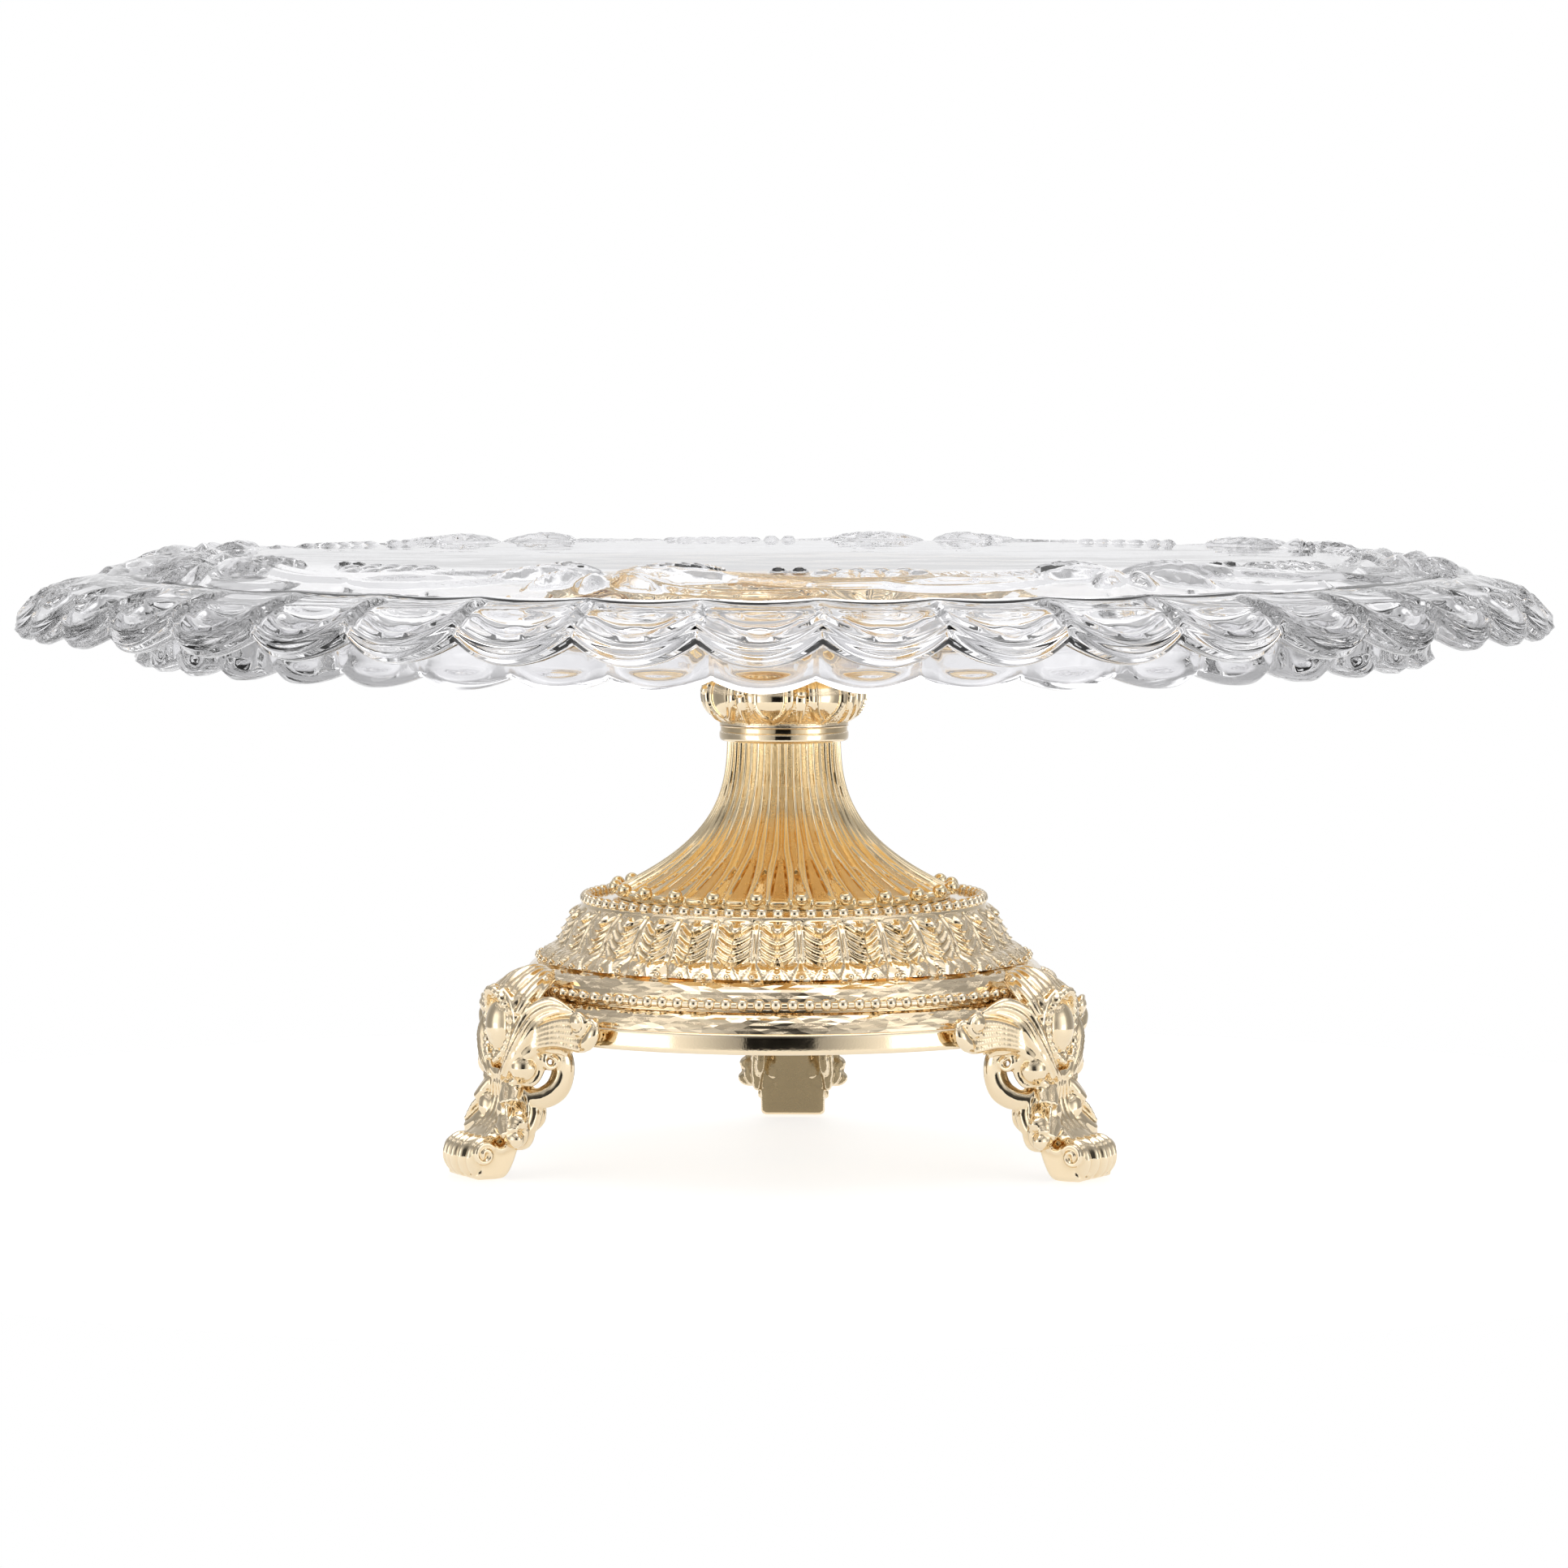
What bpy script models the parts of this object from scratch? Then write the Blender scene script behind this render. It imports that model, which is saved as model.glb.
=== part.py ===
"""Cake stand: a scalloped pressed-glass plate on a gold-plated cast pedestal with three scroll legs.

Metres, +Z up. The origin is on the floor under the middle of the plate, and -Y is the front.
The pedestal is a stack of castings clamped on one threaded rod. The plate rests on four clear pads
and lifts off. Every length below is in millimetres.
"""

import math

import bmesh
import bpy

MM = 0.001
GAP = 0.3  # air between neighbouring pieces

# Glass plate
LOBES = 42  # scallops round the rim and, below it, round the skirt
PLATE_RADIUS = 165.0
PLATE_TOP = 130.5
PLATE_THICK = 5.0
CREST_RADIUS = 121.3  # the flat cake surface ends here and the rim turns down
LIP_TOP = 117.7
LIP_BOTTOM = 113.4
RIM_NOTCH = 3.5  # how far the notch between two rim lobes cuts in, and rises
SKIRT_RADIUS = 139.4
SKIRT_BOTTOM = 107.2
SKIRT_NOTCH = 2.5

# What carries the plate
PAD_THICK = 1.2
PAD_RADIUS = 5.0
PAD_RING = 42.0
DISC_RADIUS = 54.0
DISC_THICK = 1.5
BOSS_HEIGHT = 4.2
BOSS_RADIUS = 16.0
NECK_RADIUS = 12.5
NECK_WALL = 3.0

# Pedestal castings, heights above the floor
CUP_TOP = 104.0
CUP_BOTTOM = 93.9
CUP_RADIUS = 18.0
CUP_FLOOR = 2.5
CUP_PETALS = 8
COLLAR_RADIUS = 14.0
STEM_TOP = 90.0
STEM_TOP_RADIUS = 12.3
STEM_FLARE = 25.0  # how far the trumpet opens below its top
STEM_WALL = 2.6
RIBS = 24
LEAF_TOP = 56.4
LEAF_TOP_RADIUS = 43.6
LEAF_FOOT_RADIUS = 53.4
LEAVES = 32
TIER_TOP = 43.0
TIER_RADIUS = 56.5
BASE_TOP = 37.2
BAND_TOP = 32.7
BAND_BOTTOM = 28.7
BAND_RADIUS = 61.5
BASE_BORE = 57.3  # inner wall of the base ring
BEAD_RING = 57.9
BEAD_RADIUS = 1.2
WEB = 2.0  # thickness of each casting's top

# Legs, laid out along +X and then turned into place
LEG_ANGLES = {"front_left": -150.0, "front_right": -30.0, "back": 90.0}
LEG_TOP = 44.7
LEG_HALF_WIDTH = 7.25
SCROLL_HALF_WIDTH = 11.8
KNEE_HALF_WIDTH = 10.5
WING_ANGLE = 21.0
WING_THICK = 3.5
LEG_SEAT = BAND_RADIUS + 2 * GAP

# Fasteners
ROD_RADIUS = 3.0
ROD_HOLE = 3.4
ROD_BOTTOM = 22.9
NUT_HALF_FLATS = 5.0
NUT_HEIGHT = 5.0
SCREW_RADIUS = 1.5
SCREW_HOLE = 1.8
SCREW_HEAD = 2.6
SCREW_HEAD_THICK = 2.0
SCREW_LENGTH = 10.4
SCREW_OFFSET = 7.0
SCREW_Z = 31.6
SCREW_SEAT = 56.1

DISC_TOP = PLATE_TOP - PLATE_THICK - PAD_THICK - 2 * GAP
DISC_BOTTOM = DISC_TOP - DISC_THICK
BOSS_BOTTOM = DISC_BOTTOM - BOSS_HEIGHT


def clear_scene():
    for obj in list(bpy.data.objects):
        bpy.data.objects.remove(obj, do_unlink=True)


def principled(name, color, metallic, roughness, transmission=0.0):
    material = bpy.data.materials.new(name)
    material.use_nodes = True
    shader = material.node_tree.nodes["Principled BSDF"]
    shader.inputs["Base Color"].default_value = (*color, 1.0)
    shader.inputs["Metallic"].default_value = metallic
    shader.inputs["Roughness"].default_value = roughness
    shader.inputs["Transmission Weight"].default_value = transmission
    material.diffuse_color = (*color, 1.0)
    return material


def glass(name):
    return principled(name, (0.93, 0.94, 0.96), 0.0, 0.03, transmission=1.0)


def polished_gold(name):
    return principled(name, (0.90, 0.74, 0.45), 1.0, 0.12)


def satin_gold(name):
    return principled(name, (0.86, 0.67, 0.38), 1.0, 0.28)


def silicone(name):
    return principled(name, (0.90, 0.90, 0.90), 0.0, 0.40, transmission=0.6)


def steel(name):
    return principled(name, (0.62, 0.62, 0.63), 1.0, 0.35)


def mesh_from(bm, name):
    """A smooth mesh with sharp edges kept, and its faces pointing out."""
    bmesh.ops.recalc_face_normals(bm, faces=bm.faces)
    mesh = bpy.data.meshes.new(name)
    bm.to_mesh(mesh)
    bm.free()
    mesh.shade_smooth()
    mesh.set_sharp_from_angle(angle=math.radians(35.0))
    return mesh


def place(name, mesh, material, turn=0.0):
    """One named object: a mesh with its own material, turned about the stand's axis."""
    obj = bpy.data.objects.new(name, mesh)
    mesh.materials.clear()
    mesh.materials.append(material(name))
    obj.rotation_euler.z = math.radians(turn)
    bpy.context.collection.objects.link(obj)


def turned_mesh(name, outline, steps, shape=None, caps=False, sweep=360.0):
    """Sweeps an (r, z) outline round Z. shape(r, z, angle, index) may push each point.

    A closed outline gives a ring. With caps the outline is open, and its first and last rings are
    filled with flat faces. A sweep under 360 degrees is closed with two end faces.
    """
    bm = bmesh.new()
    whole = sweep >= 360.0
    rings = steps if whole else steps + 1
    columns = []
    for step in range(rings):
        angle = math.radians(sweep) * step / steps - math.pi / 2
        column = []
        for index, (r, z) in enumerate(outline):
            if shape:
                r, z = shape(r, z, angle + math.pi / 2, index)
            spot = (r * math.cos(angle) * MM, r * math.sin(angle) * MM, z * MM)
            column.append(bm.verts.new(spot))
        columns.append(column)
    count = len(outline)
    spans = count - 1 if caps else count
    for step in range(steps):
        here, there = columns[step], columns[(step + 1) % rings]
        for index in range(spans):
            after = (index + 1) % count
            bm.faces.new((here[index], there[index], there[after], here[after]))
    if caps:
        bm.faces.new([column[0] for column in columns])
        bm.faces.new([column[-1] for column in columns])
    if not whole:
        bm.faces.new(columns[0])
        bm.faces.new(columns[-1])
    return mesh_from(bm, name)


def ring(name, inner, outer, bottom, top, steps=36, shape=None, sweep=360.0):
    outline = [(inner, top), (outer, top), (outer, bottom), (inner, bottom)]
    return turned_mesh(name, outline, steps, shape=shape, sweep=sweep)


def smooth_line(points, per_span):
    """A Catmull-Rom curve through the points, with per_span steps between neighbours."""
    first = tuple(2 * a - b for a, b in zip(points[0], points[1]))
    last = tuple(2 * a - b for a, b in zip(points[-1], points[-2]))
    padded = [first, *points, last]
    line = []
    for p0, p1, p2, p3 in zip(padded, padded[1:], padded[2:], padded[3:]):
        for step in range(per_span):
            t = step / per_span
            line.append(
                tuple(
                    0.5
                    * (
                        2 * b
                        + (c - a) * t
                        + (2 * a - 5 * b + 4 * c - d) * t**2
                        + (3 * b - a - 3 * c + d) * t**3
                    )
                    for a, b, c, d in zip(p0, p1, p2, p3)
                )
            )
    line.append(points[-1])
    return line


def evaluated_copy(obj, name):
    """The object's mesh with its modifiers applied. The object itself is removed."""
    graph = bpy.context.evaluated_depsgraph_get()
    mesh = bpy.data.meshes.new_from_object(obj.evaluated_get(graph))
    mesh.name = name
    bpy.data.objects.remove(obj, do_unlink=True)
    return mesh


def combined(name, meshes, cutters=()):
    """Boolean union of closed meshes, with the cutters taken away."""
    body = bpy.data.objects.new(name, meshes[0])
    bpy.context.collection.objects.link(body)
    helpers = []
    steps = [(mesh, "UNION") for mesh in meshes[1:]] + [(mesh, "DIFFERENCE") for mesh in cutters]
    for mesh, operation in steps:
        helper = bpy.data.objects.new(f"{name}_{operation.lower()}", mesh)
        bpy.context.collection.objects.link(helper)
        helper.hide_render = True
        helper.display_type = "WIRE"
        helpers.append(helper)
        modifier = body.modifiers.new(operation.title(), "BOOLEAN")
        modifier.operation = operation
        modifier.solver = "EXACT"
        modifier.object = helper
    mesh = evaluated_copy(body, name)
    for helper in helpers:
        bpy.data.objects.remove(helper, do_unlink=True)
    mesh.shade_smooth()
    mesh.set_sharp_from_angle(angle=math.radians(35.0))
    return mesh


# ---------------------------------------------------------------- glass plate


def lobe_edge(angle, count):
    """0 in the middle of a scallop, 1 in the notch beside it."""
    turn = angle * count / (2 * math.pi)
    return (2 * (turn - round(turn))) ** 2


def rim_height(r):
    """Top of the plate: flat to the crest, then falling ever more steeply to the lip."""
    t = max(0.0, (r - CREST_RADIUS) / (PLATE_RADIUS - CREST_RADIUS))
    return PLATE_TOP - (PLATE_TOP - LIP_TOP) * t**2.3


def plate_outline():
    """(r, z, notch) down the outside and back under the plate; notch scales the scallops there."""
    top = [(r, rim_height(r), 0.0) for r in (CREST_RADIUS, 139.0)]
    top += [(153.0, rim_height(153.0), 0.35 * RIM_NOTCH)]
    top += [(PLATE_RADIUS, LIP_TOP, RIM_NOTCH)]
    lip = [
        (PLATE_RADIUS - 0.3, LIP_BOTTOM + 1.4, RIM_NOTCH),
        (PLATE_RADIUS - 2.6, LIP_BOTTOM, RIM_NOTCH),
    ]
    under = [(154.0, 118.0, 0.4 * RIM_NOTCH), (143.0, 121.6, 0.0)]
    skirt = [
        (138.2, 118.0, 0.0),
        (SKIRT_RADIUS, SKIRT_BOTTOM + 2.2, SKIRT_NOTCH),
        (SKIRT_RADIUS - 2.4, SKIRT_BOTTOM, SKIRT_NOTCH),
        (SKIRT_RADIUS - 5.2, SKIRT_BOTTOM + 2.6, SKIRT_NOTCH),
    ]
    hollow = [(129.0, 119.5, 0.0), (121.0, PLATE_TOP - PLATE_THICK, 0.0)]
    return top + lip + under + skirt + hollow


def glass_plate():
    outline = plate_outline()

    def scalloped(r, z, angle, index):
        notch = outline[index][2] * lobe_edge(angle, LOBES)
        return r - notch, z + notch

    points = [(r, z) for r, z, _ in outline]
    mesh = turned_mesh("glass_plate", points, LOBES * 4, shape=scalloped, caps=True)
    place("glass_plate", mesh, glass)


# ---------------------------------------------------------------- what carries the plate


def glass_pads():
    for number, turn in enumerate((45.0, 135.0, 225.0, 315.0), start=1):
        name = f"glass_pad_{number}"
        bm = bmesh.new()
        bmesh.ops.create_cone(
            bm,
            cap_ends=True,
            segments=20,
            radius1=PAD_RADIUS * MM,
            radius2=(PAD_RADIUS - 0.6) * MM,
            depth=PAD_THICK * MM,
        )
        height = DISC_TOP + GAP + PAD_THICK / 2
        bmesh.ops.translate(bm, verts=bm.verts, vec=(PAD_RING * MM, 0.0, height * MM))
        place(name, mesh_from(bm, name), silicone, turn=turn)


def support_disc():
    outline = [
        (DISC_RADIUS - 0.5, DISC_TOP),
        (DISC_RADIUS, DISC_TOP - 0.5),
        (DISC_RADIUS, DISC_BOTTOM + 0.4),
        (DISC_RADIUS - 0.6, DISC_BOTTOM),
        (BOSS_RADIUS + 5.0, DISC_BOTTOM),
        (BOSS_RADIUS, DISC_BOTTOM - 1.8),
        (BOSS_RADIUS, BOSS_BOTTOM),
        (ROD_HOLE, BOSS_BOTTOM),
        (ROD_HOLE, DISC_BOTTOM - GAP),
    ]
    place("support_disc", turned_mesh("support_disc", outline, 48, caps=True), satin_gold)


def neck_sleeve():
    bottom = CUP_BOTTOM + CUP_FLOOR + GAP
    mesh = ring("neck_sleeve", NECK_RADIUS - NECK_WALL, NECK_RADIUS, bottom, BOSS_BOTTOM - GAP)
    place("neck_sleeve", mesh, satin_gold)


# ---------------------------------------------------------------- castings of the pedestal


def cup():
    wall = 2.6
    outside = [
        (CUP_RADIUS - 1.2, CUP_TOP),
        (CUP_RADIUS, CUP_TOP - 3.6),
        (CUP_RADIUS - 0.6, CUP_TOP - 6.2),
        (CUP_RADIUS - 2.2, CUP_TOP - 8.6),
        (14.4, CUP_BOTTOM),
    ]
    floor = CUP_BOTTOM + CUP_FLOOR
    inside = [
        (ROD_HOLE, CUP_BOTTOM),
        (ROD_HOLE, floor),
        (NECK_RADIUS + 0.5, floor),
        (CUP_RADIUS - wall, CUP_TOP - 3.0),
        (CUP_RADIUS - wall, CUP_TOP),
    ]
    outer_count = len(outside)

    def petals(r, z, angle, index):
        if 0 < index < outer_count - 1:
            r -= 0.7 * lobe_edge(angle, CUP_PETALS)
        return r, z

    mesh = turned_mesh("cup", outside + inside, CUP_PETALS * 6, shape=petals)
    place("cup", mesh, polished_gold)


def collar():
    bottom, top = STEM_TOP + GAP, CUP_BOTTOM - GAP
    groove = (bottom + top) / 2 + 0.4
    outline = [
        (ROD_HOLE, top),
        (COLLAR_RADIUS - 0.4, top),
        (COLLAR_RADIUS, top - 0.5),
        (COLLAR_RADIUS - 0.5, groove),
        (COLLAR_RADIUS, groove - 0.5),
        (COLLAR_RADIUS, bottom + 0.4),
        (COLLAR_RADIUS - 0.4, bottom),
        (ROD_HOLE, bottom),
    ]
    place("collar", turned_mesh("collar", outline, 36), polished_gold)


def stem_radius(z):
    """The trumpet: nearly straight under the collar and flaring widely at its foot."""
    t = (STEM_TOP - z) / (STEM_TOP - LEAF_TOP - 2.4)
    return STEM_TOP_RADIUS + STEM_FLARE * (0.15 * t**1.5 + 0.85 * t**3)


def stem():
    foot = LEAF_TOP + GAP
    levels = [STEM_TOP - (STEM_TOP - foot - 2.0) * (i / 7) ** 0.8 for i in range(8)]
    outside = [(stem_radius(z), z) for z in levels] + [(stem_radius(foot + 2.0), foot)]
    inside = [(r - STEM_WALL, z) for r, z in reversed(outside[:-1:2])]
    inside.insert(0, (stem_radius(foot + 2.0) - STEM_WALL, foot))
    outer_count = len(outside)

    def fluted(r, z, angle, index):
        if index < outer_count:
            r -= 0.035 * r * lobe_edge(angle, RIBS)
        return r, z

    mesh = turned_mesh("stem", outside + inside, RIBS * 2, shape=fluted)
    place("stem", mesh, satin_gold)


def leaf_skirt():
    foot = TIER_TOP + GAP
    rise = LEAF_TOP - foot
    outside = [
        (ROD_HOLE, LEAF_TOP),
        (LEAF_TOP_RADIUS, LEAF_TOP),
        (LEAF_TOP_RADIUS + 0.4, LEAF_TOP - 1.2),
        (LEAF_TOP_RADIUS + 3.4, LEAF_TOP - 0.36 * rise),
        (LEAF_FOOT_RADIUS - 4.4, LEAF_TOP - 0.66 * rise),
        (LEAF_FOOT_RADIUS - 1.6, foot + 1.8),
        (LEAF_FOOT_RADIUS, foot),
    ]
    inside = [
        (LEAF_FOOT_RADIUS - 3.4, foot),
        (LEAF_TOP_RADIUS - 2.0, LEAF_TOP - WEB),
        (ROD_HOLE, LEAF_TOP - WEB),
    ]

    def leafy(r, z, angle, index):
        if 3 <= index <= 5:
            r -= 0.9 * lobe_edge(angle, LEAVES)
        return r, z

    mesh = turned_mesh("leaf_skirt", outside + inside, LEAVES * 2, shape=leafy)
    place("leaf_skirt", mesh, polished_gold)


def upper_tier():
    foot = BASE_TOP + GAP
    shoulder = BEAD_RING - BEAD_RADIUS - GAP
    outline = [
        (ROD_HOLE, TIER_TOP),
        (TIER_RADIUS - 3.5, TIER_TOP),
        (TIER_RADIUS - 1.2, TIER_TOP - 1.6),
        (TIER_RADIUS, TIER_TOP - 3.4),
        (shoulder, TIER_TOP - 3.8),
        (shoulder, foot),
        (shoulder - 4.0, foot),
        (shoulder - 4.0, TIER_TOP - WEB),
        (ROD_HOLE, TIER_TOP - WEB),
    ]
    place("upper_tier", turned_mesh("upper_tier", outline, 60), polished_gold)


def bead_ring():
    height = BASE_TOP + GAP + BEAD_RADIUS
    outline = []
    for side in range(6):
        angle = 2 * math.pi * side / 6
        r = BEAD_RING + BEAD_RADIUS * math.cos(angle)
        outline.append((r, height - BEAD_RADIUS * math.sin(angle)))
    place("bead_ring", turned_mesh("bead_ring", outline, 60), polished_gold)


def screw_hole_meshes(start, end):
    """Two parallel drillings along +X, one each side of a leg's middle."""
    holes = []
    for side in (-1, 1):
        holes.append(rod_along_x(f"hole_{side}", [(SCREW_HOLE, start), (SCREW_HOLE, end)], side))
    return holes


def rod_along_x(name, outline, side, steps=12):
    """Turns (radius, distance from the stand's axis) points about a screw's own axis."""
    mesh = turned_mesh(name, outline, steps, caps=True)
    for vertex in mesh.vertices:
        across, up, along = vertex.co
        vertex.co = (along, across + side * SCREW_OFFSET * MM, up + SCREW_Z * MM)
    return mesh


def base_ring():
    outline = [
        (ROD_HOLE, BASE_TOP),
        (BEAD_RING + 0.8, BASE_TOP),
        (BAND_RADIUS - 1.6, BASE_TOP - 2.0),
        (BAND_RADIUS - 0.7, BAND_TOP),
        (BAND_RADIUS, BAND_TOP - 0.2),
        (BAND_RADIUS, BAND_BOTTOM + 0.4),
        (BAND_RADIUS - 0.4, BAND_BOTTOM),
        (BASE_BORE, BAND_BOTTOM),
        (BASE_BORE, BASE_TOP - WEB),
        (ROD_HOLE, BASE_TOP - WEB),
    ]
    cutters = []
    for angle in LEG_ANGLES.values():
        for hole in screw_hole_meshes(BASE_BORE - 2.0, BAND_RADIUS + 1.5):
            for vertex in hole.vertices:
                vertex.co = rotated(vertex.co, angle)
            cutters.append(hole)
    body = turned_mesh("base_ring_blank", outline, 60)
    place("base_ring", combined("base_ring", [body], cutters), polished_gold)


def rotated(point, degrees):
    x, y, z = point
    c, s = math.cos(math.radians(degrees)), math.sin(math.radians(degrees))
    return (x * c - y * s, x * s + y * c, z)


# ---------------------------------------------------------------- legs


def slab(name, outline, half_width, rounding=0.0):
    """An (r, z) outline given a width across the leg, with its rim edges chamfered."""
    bm = bmesh.new()
    verts = [bm.verts.new((x * MM, -half_width * MM, z * MM)) for x, z in outline]
    face = bm.faces.new(verts)
    extruded = bmesh.ops.extrude_face_region(bm, geom=[face])
    moved = [item for item in extruded["geom"] if isinstance(item, bmesh.types.BMVert)]
    bmesh.ops.translate(bm, verts=moved, vec=(0.0, 2 * half_width * MM, 0.0))
    if rounding:
        sides = [f for f in bm.faces if len(f.verts) == len(outline)]
        rims = {edge for f in sides for edge in f.edges}
        bmesh.ops.bevel(bm, geom=list(rims), offset=rounding * MM, segments=1, affect="EDGES")
    return mesh_from(bm, name)


def oval(centre, radii, tilt, count=12):
    """An ellipse in the (r, z) plane, tilted by an angle in degrees."""
    c, s = math.cos(math.radians(tilt)), math.sin(math.radians(tilt))
    points = []
    for step in range(count):
        angle = 2 * math.pi * step / count
        a, b = radii[0] * math.cos(angle), radii[1] * math.sin(angle)
        points.append((centre[0] + a * c - b * s, centre[1] + a * s + b * c))
    return points


def wing():
    """The acanthus leaves either side of the knee, curved to hug the base ring."""
    bm = bmesh.new()
    sections = []
    steps = 8
    for step in range(steps + 1):
        share = 2 * step / steps - 1
        angle = math.radians(WING_ANGLE * share)
        half_height = 4.4 - 2.6 * share**2
        middle = 36.2 - 1.4 * share**2
        thick = WING_THICK - 1.2 * share**2
        section = []
        for r, z in (
            (LEG_SEAT, middle - half_height),
            (LEG_SEAT + thick, middle - 0.6 * half_height),
            (LEG_SEAT + thick, middle + 0.6 * half_height),
            (LEG_SEAT, middle + half_height),
        ):
            section.append(bm.verts.new((r * math.cos(angle) * MM, r * math.sin(angle) * MM, z * MM)))
        sections.append(section)
    for here, there in zip(sections, sections[1:]):
        for index in range(4):
            after = (index + 1) % 4
            bm.faces.new((here[index], there[index], there[after], here[after]))
    bm.faces.new(sections[0])
    bm.faces.new(sections[-1])
    return mesh_from(bm, "wing")


def leg_mesh():
    front = smooth_line(
        [
            (60.0, LEG_TOP),
            (66.5, 43.2),
            (70.6, 37.0),
            (71.6, 29.0),
            (68.2, 18.0),
            (71.5, 10.6),
            (76.2, 9.4),
            (80.8, 5.0),
            (76.5, 0.0),
        ],
        2,
    )
    rear = smooth_line([(71.5, 0.0), (67.0, 8.0), (61.5, 15.5), (58.0, 23.0), (58.0, 28.3)], 2)
    seat = [
        (LEG_SEAT, 28.3),
        (LEG_SEAT, 33.2),
        (BEAD_RING + 1.8, 38.6),
        (BEAD_RING + 1.8, 40.6),
        (TIER_RADIUS + 0.9, 40.8),
        (TIER_RADIUS + 0.9, 43.6),
    ]
    column = slab("column", front + rear + seat, LEG_HALF_WIDTH, rounding=1.2)
    knee_outline = [
        (LEG_SEAT + 0.1, 28.9),
        (68.4, 28.9),
        (69.2, 33.0),
        (67.6, 38.0),
        (65.0, 41.6),
        (60.2, 41.6),
        (60.2, 38.9),
        (LEG_SEAT + 0.1, 33.6),
    ]
    knee = slab("knee", knee_outline, KNEE_HALF_WIDTH, rounding=1.0)
    scroll = slab("scroll", oval((62.6, 21.8), (4.3, 6.1), 18.0), SCROLL_HALF_WIDTH, rounding=0.8)
    leaf = slab("leaf", oval((69.0, 12.0), (4.4, 2.6), -35.0), SCROLL_HALF_WIDTH - 0.6, rounding=0.8)
    drillings = screw_hole_meshes(LEG_SEAT - 2.0, SCREW_SEAT + SCREW_LENGTH + GAP)
    return combined("leg", [column, knee, wing(), scroll, leaf], drillings)


def legs():
    shape = leg_mesh()
    for where, angle in LEG_ANGLES.items():
        place(f"leg_{where}", shape.copy(), polished_gold, turn=angle)


# ---------------------------------------------------------------- fasteners


def leg_screws():
    outline = [
        (SCREW_HEAD - 0.7, SCREW_SEAT - SCREW_HEAD_THICK),
        (SCREW_HEAD, SCREW_SEAT - SCREW_HEAD_THICK + 0.8),
        (SCREW_HEAD, SCREW_SEAT),
        (SCREW_RADIUS, SCREW_SEAT),
        (SCREW_RADIUS, SCREW_SEAT + SCREW_LENGTH - 0.8),
        (SCREW_RADIUS - 0.6, SCREW_SEAT + SCREW_LENGTH),
    ]
    for where, angle in LEG_ANGLES.items():
        for side, hand in ((-1, "a"), (1, "b")):
            name = f"leg_screw_{where}_{hand}"
            place(name, rod_along_x(name, outline, side), steel, turn=angle)


def clamp_hardware():
    """The rod that draws the castings together, with its plate, washers and nut under the base."""
    rod_top = DISC_BOTTOM - 2 * GAP
    outline = [
        (ROD_RADIUS - 0.6, rod_top),
        (ROD_RADIUS, rod_top - 0.8),
        (ROD_RADIUS, ROD_BOTTOM + 0.8),
        (ROD_RADIUS - 0.6, ROD_BOTTOM),
    ]
    place("tie_rod", turned_mesh("tie_rod", outline, 24, caps=True), steel)

    top = BASE_TOP - WEB - GAP
    for name, radius, thick, sweep in (
        ("backing_plate", 20.0, 1.5, 360.0),
        ("washer", 9.0, 1.2, 360.0),
        ("lock_washer", 6.2, 1.2, 345.0),
    ):
        mesh = ring(name, ROD_HOLE, radius, top - thick, top, steps=32, sweep=sweep)
        place(name, mesh, steel)
        top -= thick + GAP

    def hexagon(r, z, angle, index):
        if r > ROD_HOLE:
            sixth = math.pi / 3
            r /= math.cos(angle % sixth - sixth / 2)
        return r, z

    mesh = ring("tie_nut", ROD_HOLE, NUT_HALF_FLATS, top - NUT_HEIGHT, top, steps=24, shape=hexagon)
    place("tie_nut", mesh, steel)


def main():
    clear_scene()
    glass_plate()
    glass_pads()
    support_disc()
    neck_sleeve()
    cup()
    collar()
    stem()
    leaf_skirt()
    upper_tier()
    bead_ring()
    base_ring()
    legs()
    leg_screws()
    clamp_hardware()


main()
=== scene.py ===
"""Looks of the cake stand: pressed-glass plate, gold-plated castings, studio stage.

Lengths in the makers below are millimetres and are scaled to metres when a mesh is made.
Angles run round +Z from the front, -Y, and grow towards +X.
"""

import math

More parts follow.
